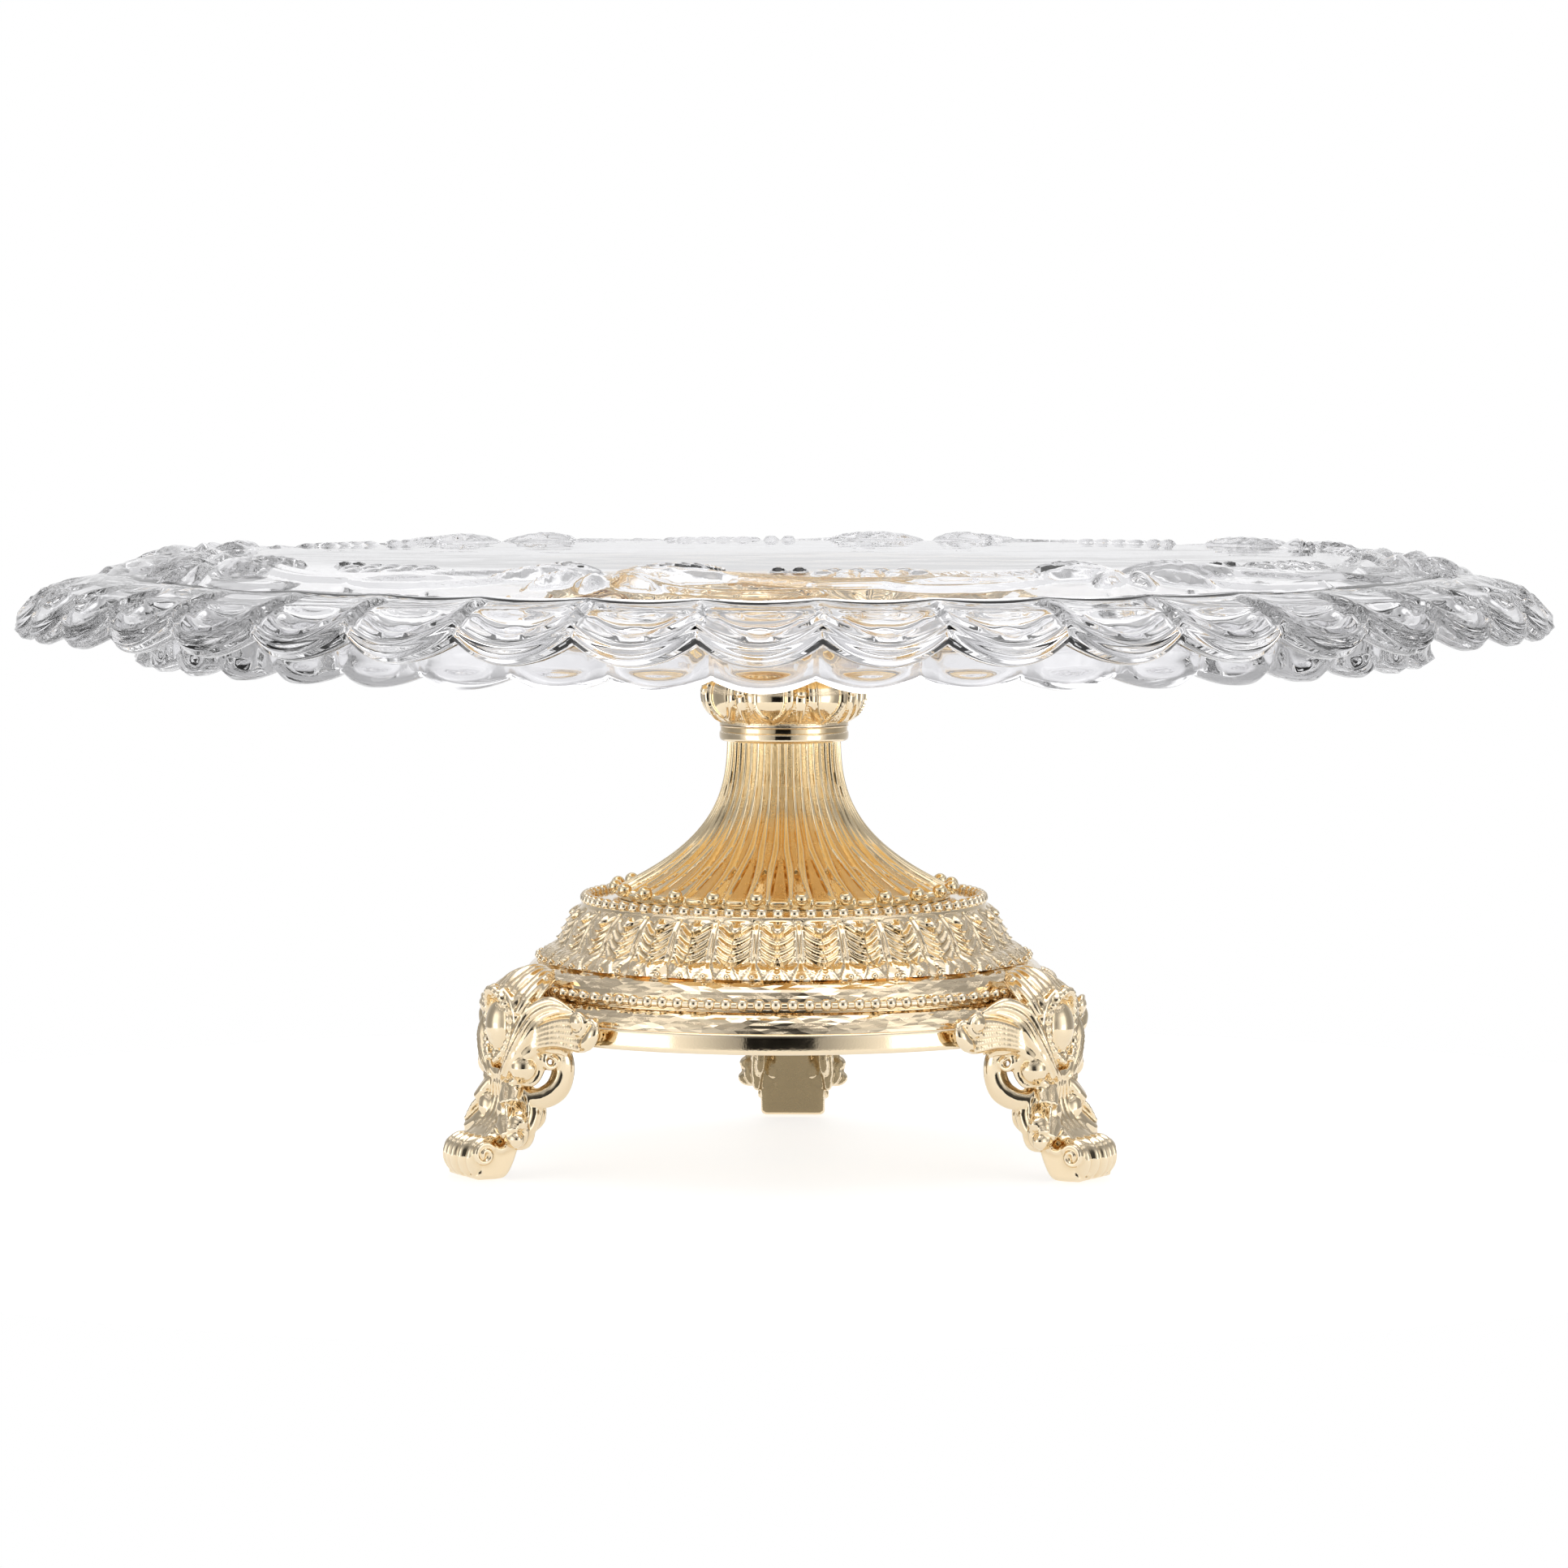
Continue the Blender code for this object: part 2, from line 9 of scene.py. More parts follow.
import bmesh
import bpy
import mathutils
import numpy as np
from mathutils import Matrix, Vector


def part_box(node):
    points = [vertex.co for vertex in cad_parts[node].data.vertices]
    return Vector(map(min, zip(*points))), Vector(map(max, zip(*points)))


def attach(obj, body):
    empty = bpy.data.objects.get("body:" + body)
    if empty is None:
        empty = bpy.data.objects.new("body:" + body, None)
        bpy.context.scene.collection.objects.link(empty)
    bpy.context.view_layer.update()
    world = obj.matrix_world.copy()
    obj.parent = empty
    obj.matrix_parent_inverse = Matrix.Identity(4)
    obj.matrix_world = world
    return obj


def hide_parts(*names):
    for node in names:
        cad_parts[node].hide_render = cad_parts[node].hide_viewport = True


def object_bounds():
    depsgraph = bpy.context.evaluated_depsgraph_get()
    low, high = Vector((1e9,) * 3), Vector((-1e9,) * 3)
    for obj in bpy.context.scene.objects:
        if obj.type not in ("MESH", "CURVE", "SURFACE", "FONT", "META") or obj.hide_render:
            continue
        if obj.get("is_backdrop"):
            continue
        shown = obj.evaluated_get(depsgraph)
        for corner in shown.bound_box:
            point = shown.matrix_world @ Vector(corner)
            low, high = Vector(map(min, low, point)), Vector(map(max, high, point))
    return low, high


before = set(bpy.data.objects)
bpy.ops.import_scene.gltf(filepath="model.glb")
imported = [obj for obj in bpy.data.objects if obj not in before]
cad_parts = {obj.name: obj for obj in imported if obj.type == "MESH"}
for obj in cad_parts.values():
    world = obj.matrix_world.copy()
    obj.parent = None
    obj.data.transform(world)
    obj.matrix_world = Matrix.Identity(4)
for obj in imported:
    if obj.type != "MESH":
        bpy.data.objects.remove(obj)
cad_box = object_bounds()

MM = 0.001
TAU = 2 * math.pi
rng = np.random.default_rng(11)


def box_mm(node):
    low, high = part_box(node)
    return [v / MM for v in low], [v / MM for v in high]


# ------------------------------------------------------------------ mesh helpers


def grid_mesh(name, points, wrap_u=True, wrap_v=False, caps=False):
    """A quad mesh from an array (u, v, xyz) in millimetres. Caps fill the first and last v rows."""
    nu, nv, _ = points.shape
    index = np.arange(nu * nv).reshape(nu, nv)
    along = np.roll(index, -1, axis=0) if wrap_u else index[1:]
    here = index if wrap_u else index[:-1]
    if wrap_v:
        quads = np.stack([here, along, np.roll(along, -1, axis=1), np.roll(here, -1, axis=1)], axis=-1)
    else:
        quads = np.stack([here[:, :-1], along[:, :-1], along[:, 1:], here[:, 1:]], axis=-1)
    faces = quads.reshape(-1, 4).tolist()
    if caps:
        faces.append(index[::-1, 0].tolist())
        faces.append(index[:, -1].tolist())
    mesh = bpy.data.meshes.new(name)
    mesh.from_pydata((points.reshape(-1, 3) * MM).tolist(), [], faces)
    return mesh


def outward(mesh):
    bm = bmesh.new()
    bm.from_mesh(mesh)
    bmesh.ops.recalc_face_normals(bm, faces=bm.faces)
    bm.to_mesh(mesh)
    bm.free()
    return mesh


def turned(name, outline, steps, push=None, caps=False, loop=False):
    """Revolves an (r, z) outline. push(r, z, theta, row) -> (r, z) works on whole arrays."""
    outline = np.asarray(outline, dtype=float)
    theta = np.arange(steps) * TAU / steps
    r = np.tile(outline[:, 0], (steps, 1))
    z = np.tile(outline[:, 1], (steps, 1))
    t = np.tile(theta[:, None], (1, len(outline)))
    if push:
        row = np.tile(np.arange(len(outline)), (steps, 1))
        r, z = push(r, z, t, row)
    points = np.stack([r * np.sin(t), -r * np.cos(t), z], axis=-1)
    return outward(grid_mesh(name, points, wrap_v=loop, caps=caps))


def spline(points, count):
    """A Catmull-Rom curve through points of any dimension, sampled evenly by arc length."""
    p = np.asarray(points, dtype=float)
    p = np.vstack([2 * p[0] - p[1], p, 2 * p[-1] - p[-2]])
    fine = []
    for i in range(1, len(p) - 2):
        t = np.linspace(0, 1, 24, endpoint=False)[:, None]
        a, b, c, d = p[i - 1 : i + 3]
        part = 2 * b + (c - a) * t + (2 * a - 5 * b + 4 * c - d) * t**2
        fine.append(0.5 * (part + (3 * b - a - 3 * c + d) * t**3))
    fine = np.vstack([*fine, p[-2:-1]])
    return resample(fine, count)


def resample(line, count):
    gaps = np.linalg.norm(np.diff(line, axis=0), axis=1)
    length = np.concatenate([[0], np.cumsum(gaps)])
    want = np.linspace(0, length[-1], count)
    return np.stack([np.interp(want, length, line[:, k]) for k in range(line.shape[1])], axis=1)


def add_object(name, mesh, material, body, slot, replaced=(), smooth=True, angle=None):
    """A visible piece that rides on a body and stands in for the CAD nodes it replaces."""
    obj = bpy.data.objects.new(name, mesh)
    bpy.context.scene.collection.objects.link(obj)
    mesh.materials.clear()
    mesh.materials.append(material)
    if smooth:
        mesh.shade_smooth()
        if angle:
            mesh.set_sharp_from_angle(angle=math.radians(angle))
    else:
        mesh.shade_flat()
    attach(obj, body)
    if replaced:
        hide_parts(*replaced)
    return obj


def merged(name, meshes):
    """Several meshes in one."""
    bm = bmesh.new()
    for mesh in meshes:
        bm.from_mesh(mesh)
        bpy.data.meshes.remove(mesh)
    mesh = bpy.data.meshes.new(name)
    bm.to_mesh(mesh)
    bm.free()
    return mesh


def unit_ball(segments, rings):
    """Points (longitude, latitude, xyz) of a ball of radius 1, without its poles."""
    lat = np.linspace(0, math.pi, rings + 1)[1:-1]
    lon = np.arange(segments) * TAU / segments
    x, y = np.outer(np.cos(lon), np.sin(lat)), np.outer(np.sin(lon), np.sin(lat))
    return np.stack([x, y, np.tile(np.cos(lat), (segments, 1))], axis=-1)


def beads(name, count, ring, height, radius, phase=0.0, segments=16, rings=10):
    """A row of round beads on a circle."""
    ball = unit_ball(segments, rings)
    parts = []
    for k in range(count):
        t = (k + phase) * TAU / count
        centre = np.array([ring * math.sin(t), -ring * math.cos(t), height])
        parts.append(grid_mesh(f"{name}_{k}", ball * radius + centre, caps=True))
    return outward(merged(name, parts))


def scallop(theta, count):
    """0 in the middle of a lobe, 1 in the notch beside it."""
    turn = theta * count / TAU
    across = np.abs(2 * (turn - np.round(turn)))
    return across**2 - 0.8 * np.clip(across - 0.8, 0, 1) ** 2


def smoothstep(x, low, high):
    t = np.clip((x - low) / (high - low), 0, 1)
    return t * t * (3 - 2 * t)


def ridge(x, at, width):
    """A smooth ridge, 1 high."""
    return np.exp(-(((x - at) / width) ** 2))


def domed(square):
    """A round hump, 1 high, from the square of the distance off its middle in radii."""
    return np.sqrt(np.clip(1 - square, 0, 1))


# ------------------------------------------------------------------ materials


def new_material(name):
    material = bpy.data.materials.new(name)
    material.use_nodes = True
    tree = material.node_tree
    shader = tree.nodes["Principled BSDF"]
    return material, tree, shader


def noise(tree, scale, detail=3.0, rough=0.5, coords=None):
    node = tree.nodes.new("ShaderNodeTexNoise")
    node.inputs["Scale"].default_value = scale
    node.inputs["Detail"].default_value = detail
    node.inputs["Roughness"].default_value = rough
    if coords:
        tree.links.new(coords, node.inputs["Vector"])
    return node


def object_coords(tree):
    return tree.nodes.new("ShaderNodeTexCoord").outputs["Object"]


def map_range(tree, source, low, high, to_low, to_high):
    node = tree.nodes.new("ShaderNodeMapRange")
    node.inputs["From Min"].default_value = low
    node.inputs["From Max"].default_value = high
    node.inputs["To Min"].default_value = to_low
    node.inputs["To Max"].default_value = to_high
    tree.links.new(source, node.inputs["Value"])
    return node.outputs["Result"]


def bump(tree, height, strength, distance, shader):
    node = tree.nodes.new("ShaderNodeBump")
    node.inputs["Strength"].default_value = strength
    node.inputs["Distance"].default_value = distance
    tree.links.new(height, node.inputs["Height"])
    tree.links.new(node.outputs["Normal"], shader.inputs["Normal"])
    return node


def color_mix(tree, factor, first, second):
    """first and second are colours or the outputs of other nodes."""
    node = tree.nodes.new("ShaderNodeMix")
    node.data_type = "RGBA"
    tree.links.new(factor, node.inputs["Factor"])
    for name, color in (("A", first), ("B", second)):
        if isinstance(color, tuple):
            node.inputs[name].default_value = (*color, 1.0)
        else:
            tree.links.new(color, node.inputs[name])
    return node.outputs["Result"]


def gold(name, light, deep, rough_low, rough_high, grain=0.0, grain_scale=2500.0):
    """Gold plate: paler on raised edges and deeper in the creases, where the deeper colour is painted shade,
    with a faintly uneven polish.
    """
    material, tree, shader = new_material(name)
    coords = object_coords(tree)
    # painted shade: the deep colour is mixed in where the surface is hollow (low pointiness), fully in the
    # creases
    crease_shade_mask = tree.nodes.new("ShaderNodeNewGeometry").outputs["Pointiness"]
    factor = map_range(tree, crease_shade_mask, 0.42, 0.53, 0.0, 1.0)
    tree.links.new(color_mix(tree, factor, deep, light), shader.inputs["Base Color"])
    cloud = noise(tree, 220.0, 4.0, 0.6, coords)
    rough = map_range(tree, cloud.outputs["Fac"], 0.3, 0.7, rough_low, rough_high)
    tree.links.new(rough, shader.inputs["Roughness"])
    shader.inputs["Metallic"].default_value = 1.0
    fine = noise(tree, grain_scale, 2.0, 0.6, coords)
    bump(tree, fine.outputs["Fac"], 0.12 + grain, 0.00006 + 0.00012 * grain, shader)
    return material


def clear_glass():
    material, tree, shader = new_material("clear_pressed_glass")
    coords = object_coords(tree)
    shader.inputs["Base Color"].default_value = (0.970, 0.968, 0.980, 1.0)
    shader.inputs["Transmission Weight"].default_value = 1.0
    shader.inputs["IOR"].default_value = 1.52
    wave = noise(tree, 60.0, 1.0, 0.4, coords)
    bump(tree, wave.outputs["Fac"], 0.2, 0.0006, shader)
    sparkle = noise(tree, 400.0, 3.0, 0.5, coords)
    rough = map_range(tree, sparkle.outputs["Fac"], 0.35, 0.75, 0.0, 0.018)
    tree.links.new(rough, shader.inputs["Roughness"])
    return material


def silicone():
    material, tree, shader = new_material("frosted_silicone")
    coords = object_coords(tree)
    shader.inputs["Base Color"].default_value = (0.9, 0.9, 0.92, 1.0)
    shader.inputs["Transmission Weight"].default_value = 0.8
    shader.inputs["IOR"].default_value = 1.41
    haze = noise(tree, 1500.0, 3.0, 0.6, coords)
    tree.links.new(map_range(tree, haze.outputs["Fac"], 0.3, 0.7, 0.3, 0.5), shader.inputs["Roughness"])
    bump(tree, haze.outputs["Fac"], 0.2, 0.00005, shader)
    return material


def zinc_steel():
    material, tree, shader = new_material("zinc_plated_steel")
    coords = object_coords(tree)
    shader.inputs["Metallic"].default_value = 1.0
    spangle = noise(tree, 900.0, 4.0, 0.7, coords)
    tint = color_mix(tree, spangle.outputs["Fac"], (0.50, 0.50, 0.51), (0.72, 0.72, 0.70))
    tree.links.new(tint, shader.inputs["Base Color"])
    rough = map_range(tree, spangle.outputs["Fac"], 0.3, 0.7, 0.25, 0.42)
    tree.links.new(rough, shader.inputs["Roughness"])
    bump(tree, spangle.outputs["Fac"], 0.15, 0.0001, shader)
    return material


GLASS = clear_glass()
SILICONE = silicone()
STEEL = zinc_steel()
# each gold's second colour is the painted shade put into its creases
POLISHED = gold("polished_gold_plate", (0.87, 0.74, 0.54), (0.78, 0.59, 0.33), 0.05, 0.10)
SATIN = gold("satin_gold_plate", (0.90, 0.75, 0.50), (0.80, 0.57, 0.28), 0.05, 0.11, grain=0.1)
STIPPLED = gold("stippled_gold_plate", (0.90, 0.68, 0.37), (0.76, 0.50, 0.20), 0.22, 0.36, grain=0.8)
# a rougher, dark copy of the gold for the legs' inward faces low down; its dark colour is painted shade
SHADED_ROUGH_GOLD = gold(
    "rough_gold_plate_painted_shade", (0.33, 0.26, 0.155), (0.23, 0.18, 0.10), 0.20, 0.34, grain=0.9, grain_scale=1400.0
)


# ------------------------------------------------------------------ glass plate

LOBES = 42
plate_low, plate_high = box_mm("glass_plate")
PLATE_R = plate_high[1]
PLATE_TOP = plate_high[2]
PLATE_THICK = 5.0
CREST_R = 121.3
LIP_TOP = 117.7
LIP_BOTTOM = 113.4
RIM_NOTCH = 3.5
RIM_DROOP = 4.2
SKIRT_R = 139.4
SKIRT_BOTTOM = plate_low[2]
SKIRT_NOTCH = 2.5
MOTIFS = 8
LEAF_ANGLE = math.radians(-13.0)
RELIEF_R = 133.5


def rim_height(r):
    t = np.clip((r - CREST_R) / (PLATE_R - CREST_R), 0, 1)
    return PLATE_TOP - (PLATE_TOP - LIP_TOP) * t**2.3


def near_line(x, y, route, width, height, count=40):
    """A rounded ridge along a smooth route: a height for each point."""
    line = spline(route, count)
    best = np.full(x.shape, 1e9)
    for (ax, ay), (bx, by) in zip(line[:-1], line[1:]):
        dx, dy = bx - ax, by - ay
        t = np.clip(((x - ax) * dx + (y - ay) * dy) / (dx * dx + dy * dy + 1e-9), 0, 1)
        best = np.minimum(best, (x - ax - t * dx) ** 2 + (y - ay - t * dy) ** 2)
    rise = np.clip(1 - best / width**2, 0, 1)
    return height * rise


def blade(x, y, base, heading, length, width, height):
    """A pointed leaf with a raised midrib, side veins and a crisp edge."""
    c, s = math.cos(math.radians(heading)), math.sin(math.radians(heading))
    u = ((x - base[0]) * c + (y - base[1]) * s) / length
    v = -(x - base[0]) * s + (y - base[1]) * c
    v = v - 0.12 * length * u * (1 - u)
    half = width * np.clip(np.sin(np.clip(u, 0, 1) ** 0.75 * math.pi), 0.0, 1) + 1e-6
    across = np.abs(v) / half
    body = np.clip(1 - across**2, 0, 1) ** 0.8
    vein = 0.07 * np.cos((u * length - 1.2 * np.abs(v)) * 1.5) * np.clip(across * 2, 0, 1)
    rib = 0.30 * ridge(v, 0, 1.0)
    ends = np.sqrt(np.clip(np.sin(np.clip(u, 0, 1) * math.pi), 0, 1))
    shape = 1.3 * height * body * (0.70 + rib + vein) * ends
    return np.where((u > 0) & (u < 1) & (across < 1), shape, 0.0)


def berry(x, y, centre, radius, height):
    d = ((x - centre[0]) ** 2 + (y - centre[1]) ** 2) / radius**2
    return height * domed(d)


LEAF_BLADES = (
    ((0, 0), 8, 27, 4.6, 2.0), ((0, -2), -14, 24, 3.6, 1.8), ((-2, 1), 168, 22, 4.2, 2.0),
    ((-2, -2), 196, 17, 3.6, 1.8), ((-3, 3), 140, 13, 3.4, 1.9), ((1, 3), 38, 15, 3.6, 1.9),
    ((-1, 3), 95, 10, 3.4, 1.7), ((-8, -2), -165, 12, 2.4, 1.5),
)
BERRY_ROWS = ((-8.0, (0, 1, 2, 3)), (-3.6, (-0.5, 0.5, 1.5, 2.5, 3.5)), (0.6, (0.4, 1.4, 2.4)))
TENDRILS = (
    ((14, -3), (26, 3), (42, 7.5), (58, 6.5), (72, 1), (84, -2)),
    ((16, -5), (27, 0.5), (42, 5.0), (57, 4.0), (70, -1)),
    ((-14, 2), (-26, 8), (-42, 10.5), (-52, 8), (-48, 4.5), (-38, 5), (-26, 6)),
    ((8, 6), (16, 11), (28, 13), (40, 12)),
)


def relief(r, theta):
    """Leaves, berries and tendrils pressed into the rim, repeated round the plate."""
    period = TAU / MOTIFS
    phase = (theta - LEAF_ANGLE + period / 2) % period - period / 2
    total = np.zeros_like(r)
    y = r - RELIEF_R
    for shift in (-period, 0.0, period):
        x = (phase - shift) * RELIEF_R
        near = np.abs(x) < 95
        if not near.any():
            continue
        h = np.zeros_like(r)
        for route in TENDRILS:
            h = np.maximum(h, near_line(x, y, route, 1.7, 1.0))
        for base, heading, length, width, height in LEAF_BLADES:
            h = np.maximum(h, blade(x, y, base, heading, length, width, height))
        for row_y, places in BERRY_ROWS:
            for place in places:
                h = np.maximum(h, berry(x, y, (44.5 + 4.9 * place, row_y), 2.5, 1.0))
        for place in (33.0, 37.5):
            h = np.maximum(h, berry(x, y, (place, -9.5), 2.0, 1.2))
        total = np.maximum(total, h)
    return total * smoothstep(r, 117.5, 120.5) * (1 - smoothstep(r, 150.0, 154.0))


def lobe_across(theta, radius):
    """Sideways distance from the middle of the nearest lobe."""
    turn = theta * LOBES / TAU
    return (turn - np.round(turn)) * TAU / LOBES * radius


def thumbprint(r, theta, centre, radii, depth, rim):
    """An oval hollow with a raised edge in the middle of every lobe."""
    d = np.sqrt((lobe_across(theta, centre) / radii[0]) ** 2 + ((r - centre) / radii[1]) ** 2)
    bowl = -depth * np.clip(1 - d**2, 0, 1)
    ripple = 0.22 * depth * np.cos(d * 7.0) * np.clip(1 - d, 0, 1)
    return bowl + ripple + rim * ridge(d, 1.08, 0.16)


def glass_plate():
    steps = LOBES * 26
    flat = [30.0, 90.0, 115.0]
    carved = list(np.linspace(117.5, 149.0, 37))
    lobed = [150.2, 151.6, 153.0, *np.linspace(154.2, PLATE_R - 0.9, 14)]
    top = [(r, float(rim_height(np.float64(r)))) for r in flat + carved + lobed]
    lip = [(PLATE_R - 0.4, LIP_TOP + 0.4), (PLATE_R, LIP_BOTTOM + 2.4)]
    lip = spline([*lip, (PLATE_R - 1.0, LIP_BOTTOM + 0.6), (PLATE_R - 3.4, LIP_BOTTOM)], 9)
    under = [
        (PLATE_R - 5.0, LIP_BOTTOM + 0.7), (154.0, 118.0), (146.0, 120.8), (141.0, 120.8),
        (138.4, 118.0),
    ]
    under = spline(under, 7)
    skirt = [(138.6, 116.2), (139.6, 112.0), (SKIRT_R, 108.8), (137.4, SKIRT_BOTTOM)]
    skirt = spline([*skirt, (135.0, 108.2), (133.4, 111.5), (130.6, 117.0)], 13)
    ceiling = PLATE_TOP - PLATE_THICK
    hollow = spline([(129.0, 120.2), (125.0, 124.2), (120.0, ceiling), (100.0, ceiling)], 4)
    outline = np.vstack([top, lip, under, skirt, hollow])
    n_top, n_lip, n_under, n_skirt = len(top), len(lip), len(under), len(skirt)
    lip_end = n_top + n_lip
    skirt_start = lip_end + n_under
    skirt_end = skirt_start + n_skirt

    def push(r, z, theta, row):
        notch = scallop(theta, LOBES)
        on_top = row < n_top
        rim_share = np.where(row < lip_end, smoothstep(r, 147.0, 163.0), smoothstep(r, 145.0, 161.0))
        rim_share = np.where(row >= skirt_start, 0.0, rim_share)
        in_skirt = (row >= skirt_start) & (row < skirt_end)
        skirt_share = np.where(in_skirt, 1 - smoothstep(z, 110.0, 117.0), 0.0)
        lift = np.zeros_like(z)
        lift += np.where(on_top, relief(r, theta), 0.0)
        lift += np.where(on_top, thumbprint(r, theta, 159.2, (7.6, 4.0), 1.0, 0.35), 0.0)
        lift += np.where(on_top, 0.5 * ridge(r, 162.4, 1.1), 0.0)
        on_lip = (row >= n_top) & (row < lip_end)
        groove = np.where(on_lip, 0.28 * np.cos((z - LIP_BOTTOM) * TAU / 2.2), 0.0)
        d = np.sqrt((lobe_across(theta, SKIRT_R) / 8.4) ** 2 + ((z - 112.0) / 3.0) ** 2)
        outside = in_skirt & (r > 136.5) & (row < skirt_start + 7)
        lens = np.where(outside, 0.55 * ridge(d, 1, 0.22) - 0.9 * np.clip(1 - d * d, 0, 1), 0.0)
        new_r = r - RIM_NOTCH * rim_share * notch - SKIRT_NOTCH * skirt_share * notch + groove + lens
        new_z = z + RIM_DROOP * rim_share * notch + SKIRT_NOTCH * skirt_share * notch + lift
        return new_r, new_z

    mesh = turned("pressed_glass_plate", outline, steps, push=push, caps=True)
    return add_object("pressed_glass_plate", mesh, GLASS, "plate", "clear_glass", ["glass_plate"])


# ------------------------------------------------------------------ castings


def add_casting(name, mesh, material, replaced, **shading):
    slot = "polished_gold" if material is POLISHED else "satin_gold"
    return add_object(name, mesh, material, "pedestal", slot, replaced, **shading)


def support_disc():
    low, high = box_mm("support_disc")
    radius, top, bottom = high[0], high[2], low[2]
    outline = [(r, top) for r in np.linspace(3.0, radius - 2.2, 70)]
    outline += [
        (radius - 1.4, top), (radius - 0.6, top - 0.1), (radius, top - 0.7), (radius - 0.3, top - 1.3)
    ]
    outline += [(40.0, top - 1.5), (22.0, top - 1.5), (17.2, top - 2.4), (16.0, top - 3.6)]
    outline += [(16.0, bottom + 0.3), (15.7, bottom), (3.4, bottom)]

    def push(r, z, theta, row):
        field = np.cos(theta * 48 + 3 * np.sin(r * 0.9)) * np.cos(r * 1.7 + 2 * np.sin(theta * 5))
        dimple = 0.16 * field + 0.1 * np.cos(theta * 96 + r * 2.1)
        shown = (row < 70) & (r < radius - 4)
        return r, z + np.where(shown, dimple - 0.3, 0.0)

    mesh = turned("stippled_disc", outline, 384, push=push, caps=True)
    return add_casting("stippled_disc", mesh, STIPPLED, ["support_disc"], angle=40)


def neck_sleeve():
    low, high = box_mm("neck_sleeve")
    radius = high[0]
    heights = np.linspace(high[2], low[2], 30)
    outline = [(radius - 3.0, high[2])] + [(radius, z) for z in heights] + [(radius - 3.0, low[2])]

    def push(r, z, theta, row):
        outer = (row > 1) & (row < 30)
        wave = 0.45 * np.cos(theta * 24) * np.cos((z - low[2]) * 0.9) + 0.2 * np.cos(theta * 48 + z * 2)
        return r + np.where(outer, wave - 0.5, 0.0), z

    mesh = turned("textured_neck", outline, 240, push=push, loop=True)
    return add_casting("textured_neck", mesh, STIPPLED, ["neck_sleeve"], angle=40)


PETALS = 8
PETAL_PHASE = math.radians(-8.5)


def cup():
    low, high = box_mm("cup")
    top, bottom = high[2], low[2]
    outside = [(16.2, top), (17.2, top - 1.6), (17.5, top - 4.0), (16.8, top - 6.4), (15.2, top - 8.6)]
    outside = spline([*outside, (14.1, bottom + 0.7), (13.9, bottom)], 70)
    inside = [(10.0, bottom), (3.5, bottom), (3.6, bottom + 2.4)]
    inside += [(13.0, bottom + 2.6), (14.9, top - 3.0), (15.0, top)]
    outline = np.vstack([outside, inside])
    shown = len(outside)
    pitch = TAU / PETALS * 17.0
    grain = rng.normal(0.0, 0.05, (576, len(outline)))

    def push(r, z, theta, row):
        turn = (theta - PETAL_PHASE) / TAU * PETALS
        x = np.abs(turn - np.round(turn)) * pitch
        y = z - bottom

        def arch(wide, foot):
            """Half-width of a round-bottomed tongue at each height."""
            return wide * domed((np.clip(foot + wide * 1.25 - y, 0, 99) / (wide * 1.25)) ** 2)

        wire_at, band_at = arch(3.3, 1.7), arch(5.25, 0.5)
        wire = 0.55 * ridge(x, wire_at, 0.27) * (y > 1.6)
        pad = np.where(x < wire_at, 0.42 * domed((x / (wire_at + 0.01)) ** 2) - 0.1, 0.0)
        inside_band = (x >= wire_at) & (x < band_at)
        q = (x - wire_at) / (band_at - wire_at + 1e-6)
        band = np.where(inside_band, 0.15 + 0.5 * domed((2 * q - 0.9) ** 2), 0.0)
        gap = pitch / 2 - x
        drop_at = 1.25 * np.clip((y - 0.6) / 4.6, 0, 1) ** 0.45
        lobe = 0.72 * domed((gap / (drop_at + 0.01)) ** 2) * (y > 0.6)
        ball = 1.35 * np.sqrt(np.clip(1 - (gap / 1.25) ** 2 - ((y - 7.6) / 1.3) ** 2, 0, 1))
        sharp = 0.3 * ridge(gap, 0, 0.3 + 0.25 * (7 - y)) * (y > 5.2) * (y < 6.9)
        rough = grain[: r.shape[0]] * ((gap > drop_at) & (x > band_at))
        raised = np.maximum.reduce([pad * (y > 1.6), band, lobe, ball, sharp]) + wire + rough
        fade = smoothstep(y, 0.2, 1.0)
        return r + np.where(row < shown, (raised - 0.35) * fade, 0.0), z

    mesh = turned("petal_cup", outline, 576, push=push, loop=True)
    return add_casting("petal_cup", mesh, POLISHED, ["cup"], angle=60)


def collar():
    low, high = box_mm("collar")
    top, bottom, radius = high[2] + 0.28, low[2], high[0]
    lip = [(radius - 0.5, top), (radius - 0.08, top - 0.08), (radius - 0.02, top - 0.2)]
    lip = spline([*lip, (radius - 0.12, top - 0.32)], 8)
    waist = [(radius - 0.26, top - 0.40), (radius - 0.28, top - 0.9), (radius - 0.26, top - 1.38)]
    roll = [(radius - 0.08, top - 1.48), (radius, top - 1.95), (radius - 0.10, bottom + 0.62)]
    roll = spline([*roll, (radius - 0.55, bottom + 0.16), (radius - 1.4, bottom), (11.9, bottom)], 22)
    outline = np.vstack([[(3.5, top)], lip, waist, roll, [(3.5, bottom)]])
    mesh = turned("neck_collar", outline, 192, loop=True)
    return add_casting("neck_collar", mesh, POLISHED, ["collar"], angle=50)


RIBS = 24


def stem_radius(z, top):
    t = (top - z) / 31.2
    return 12.3 + 23.4 * (0.15 * t**1.5 + 0.85 * t**3)


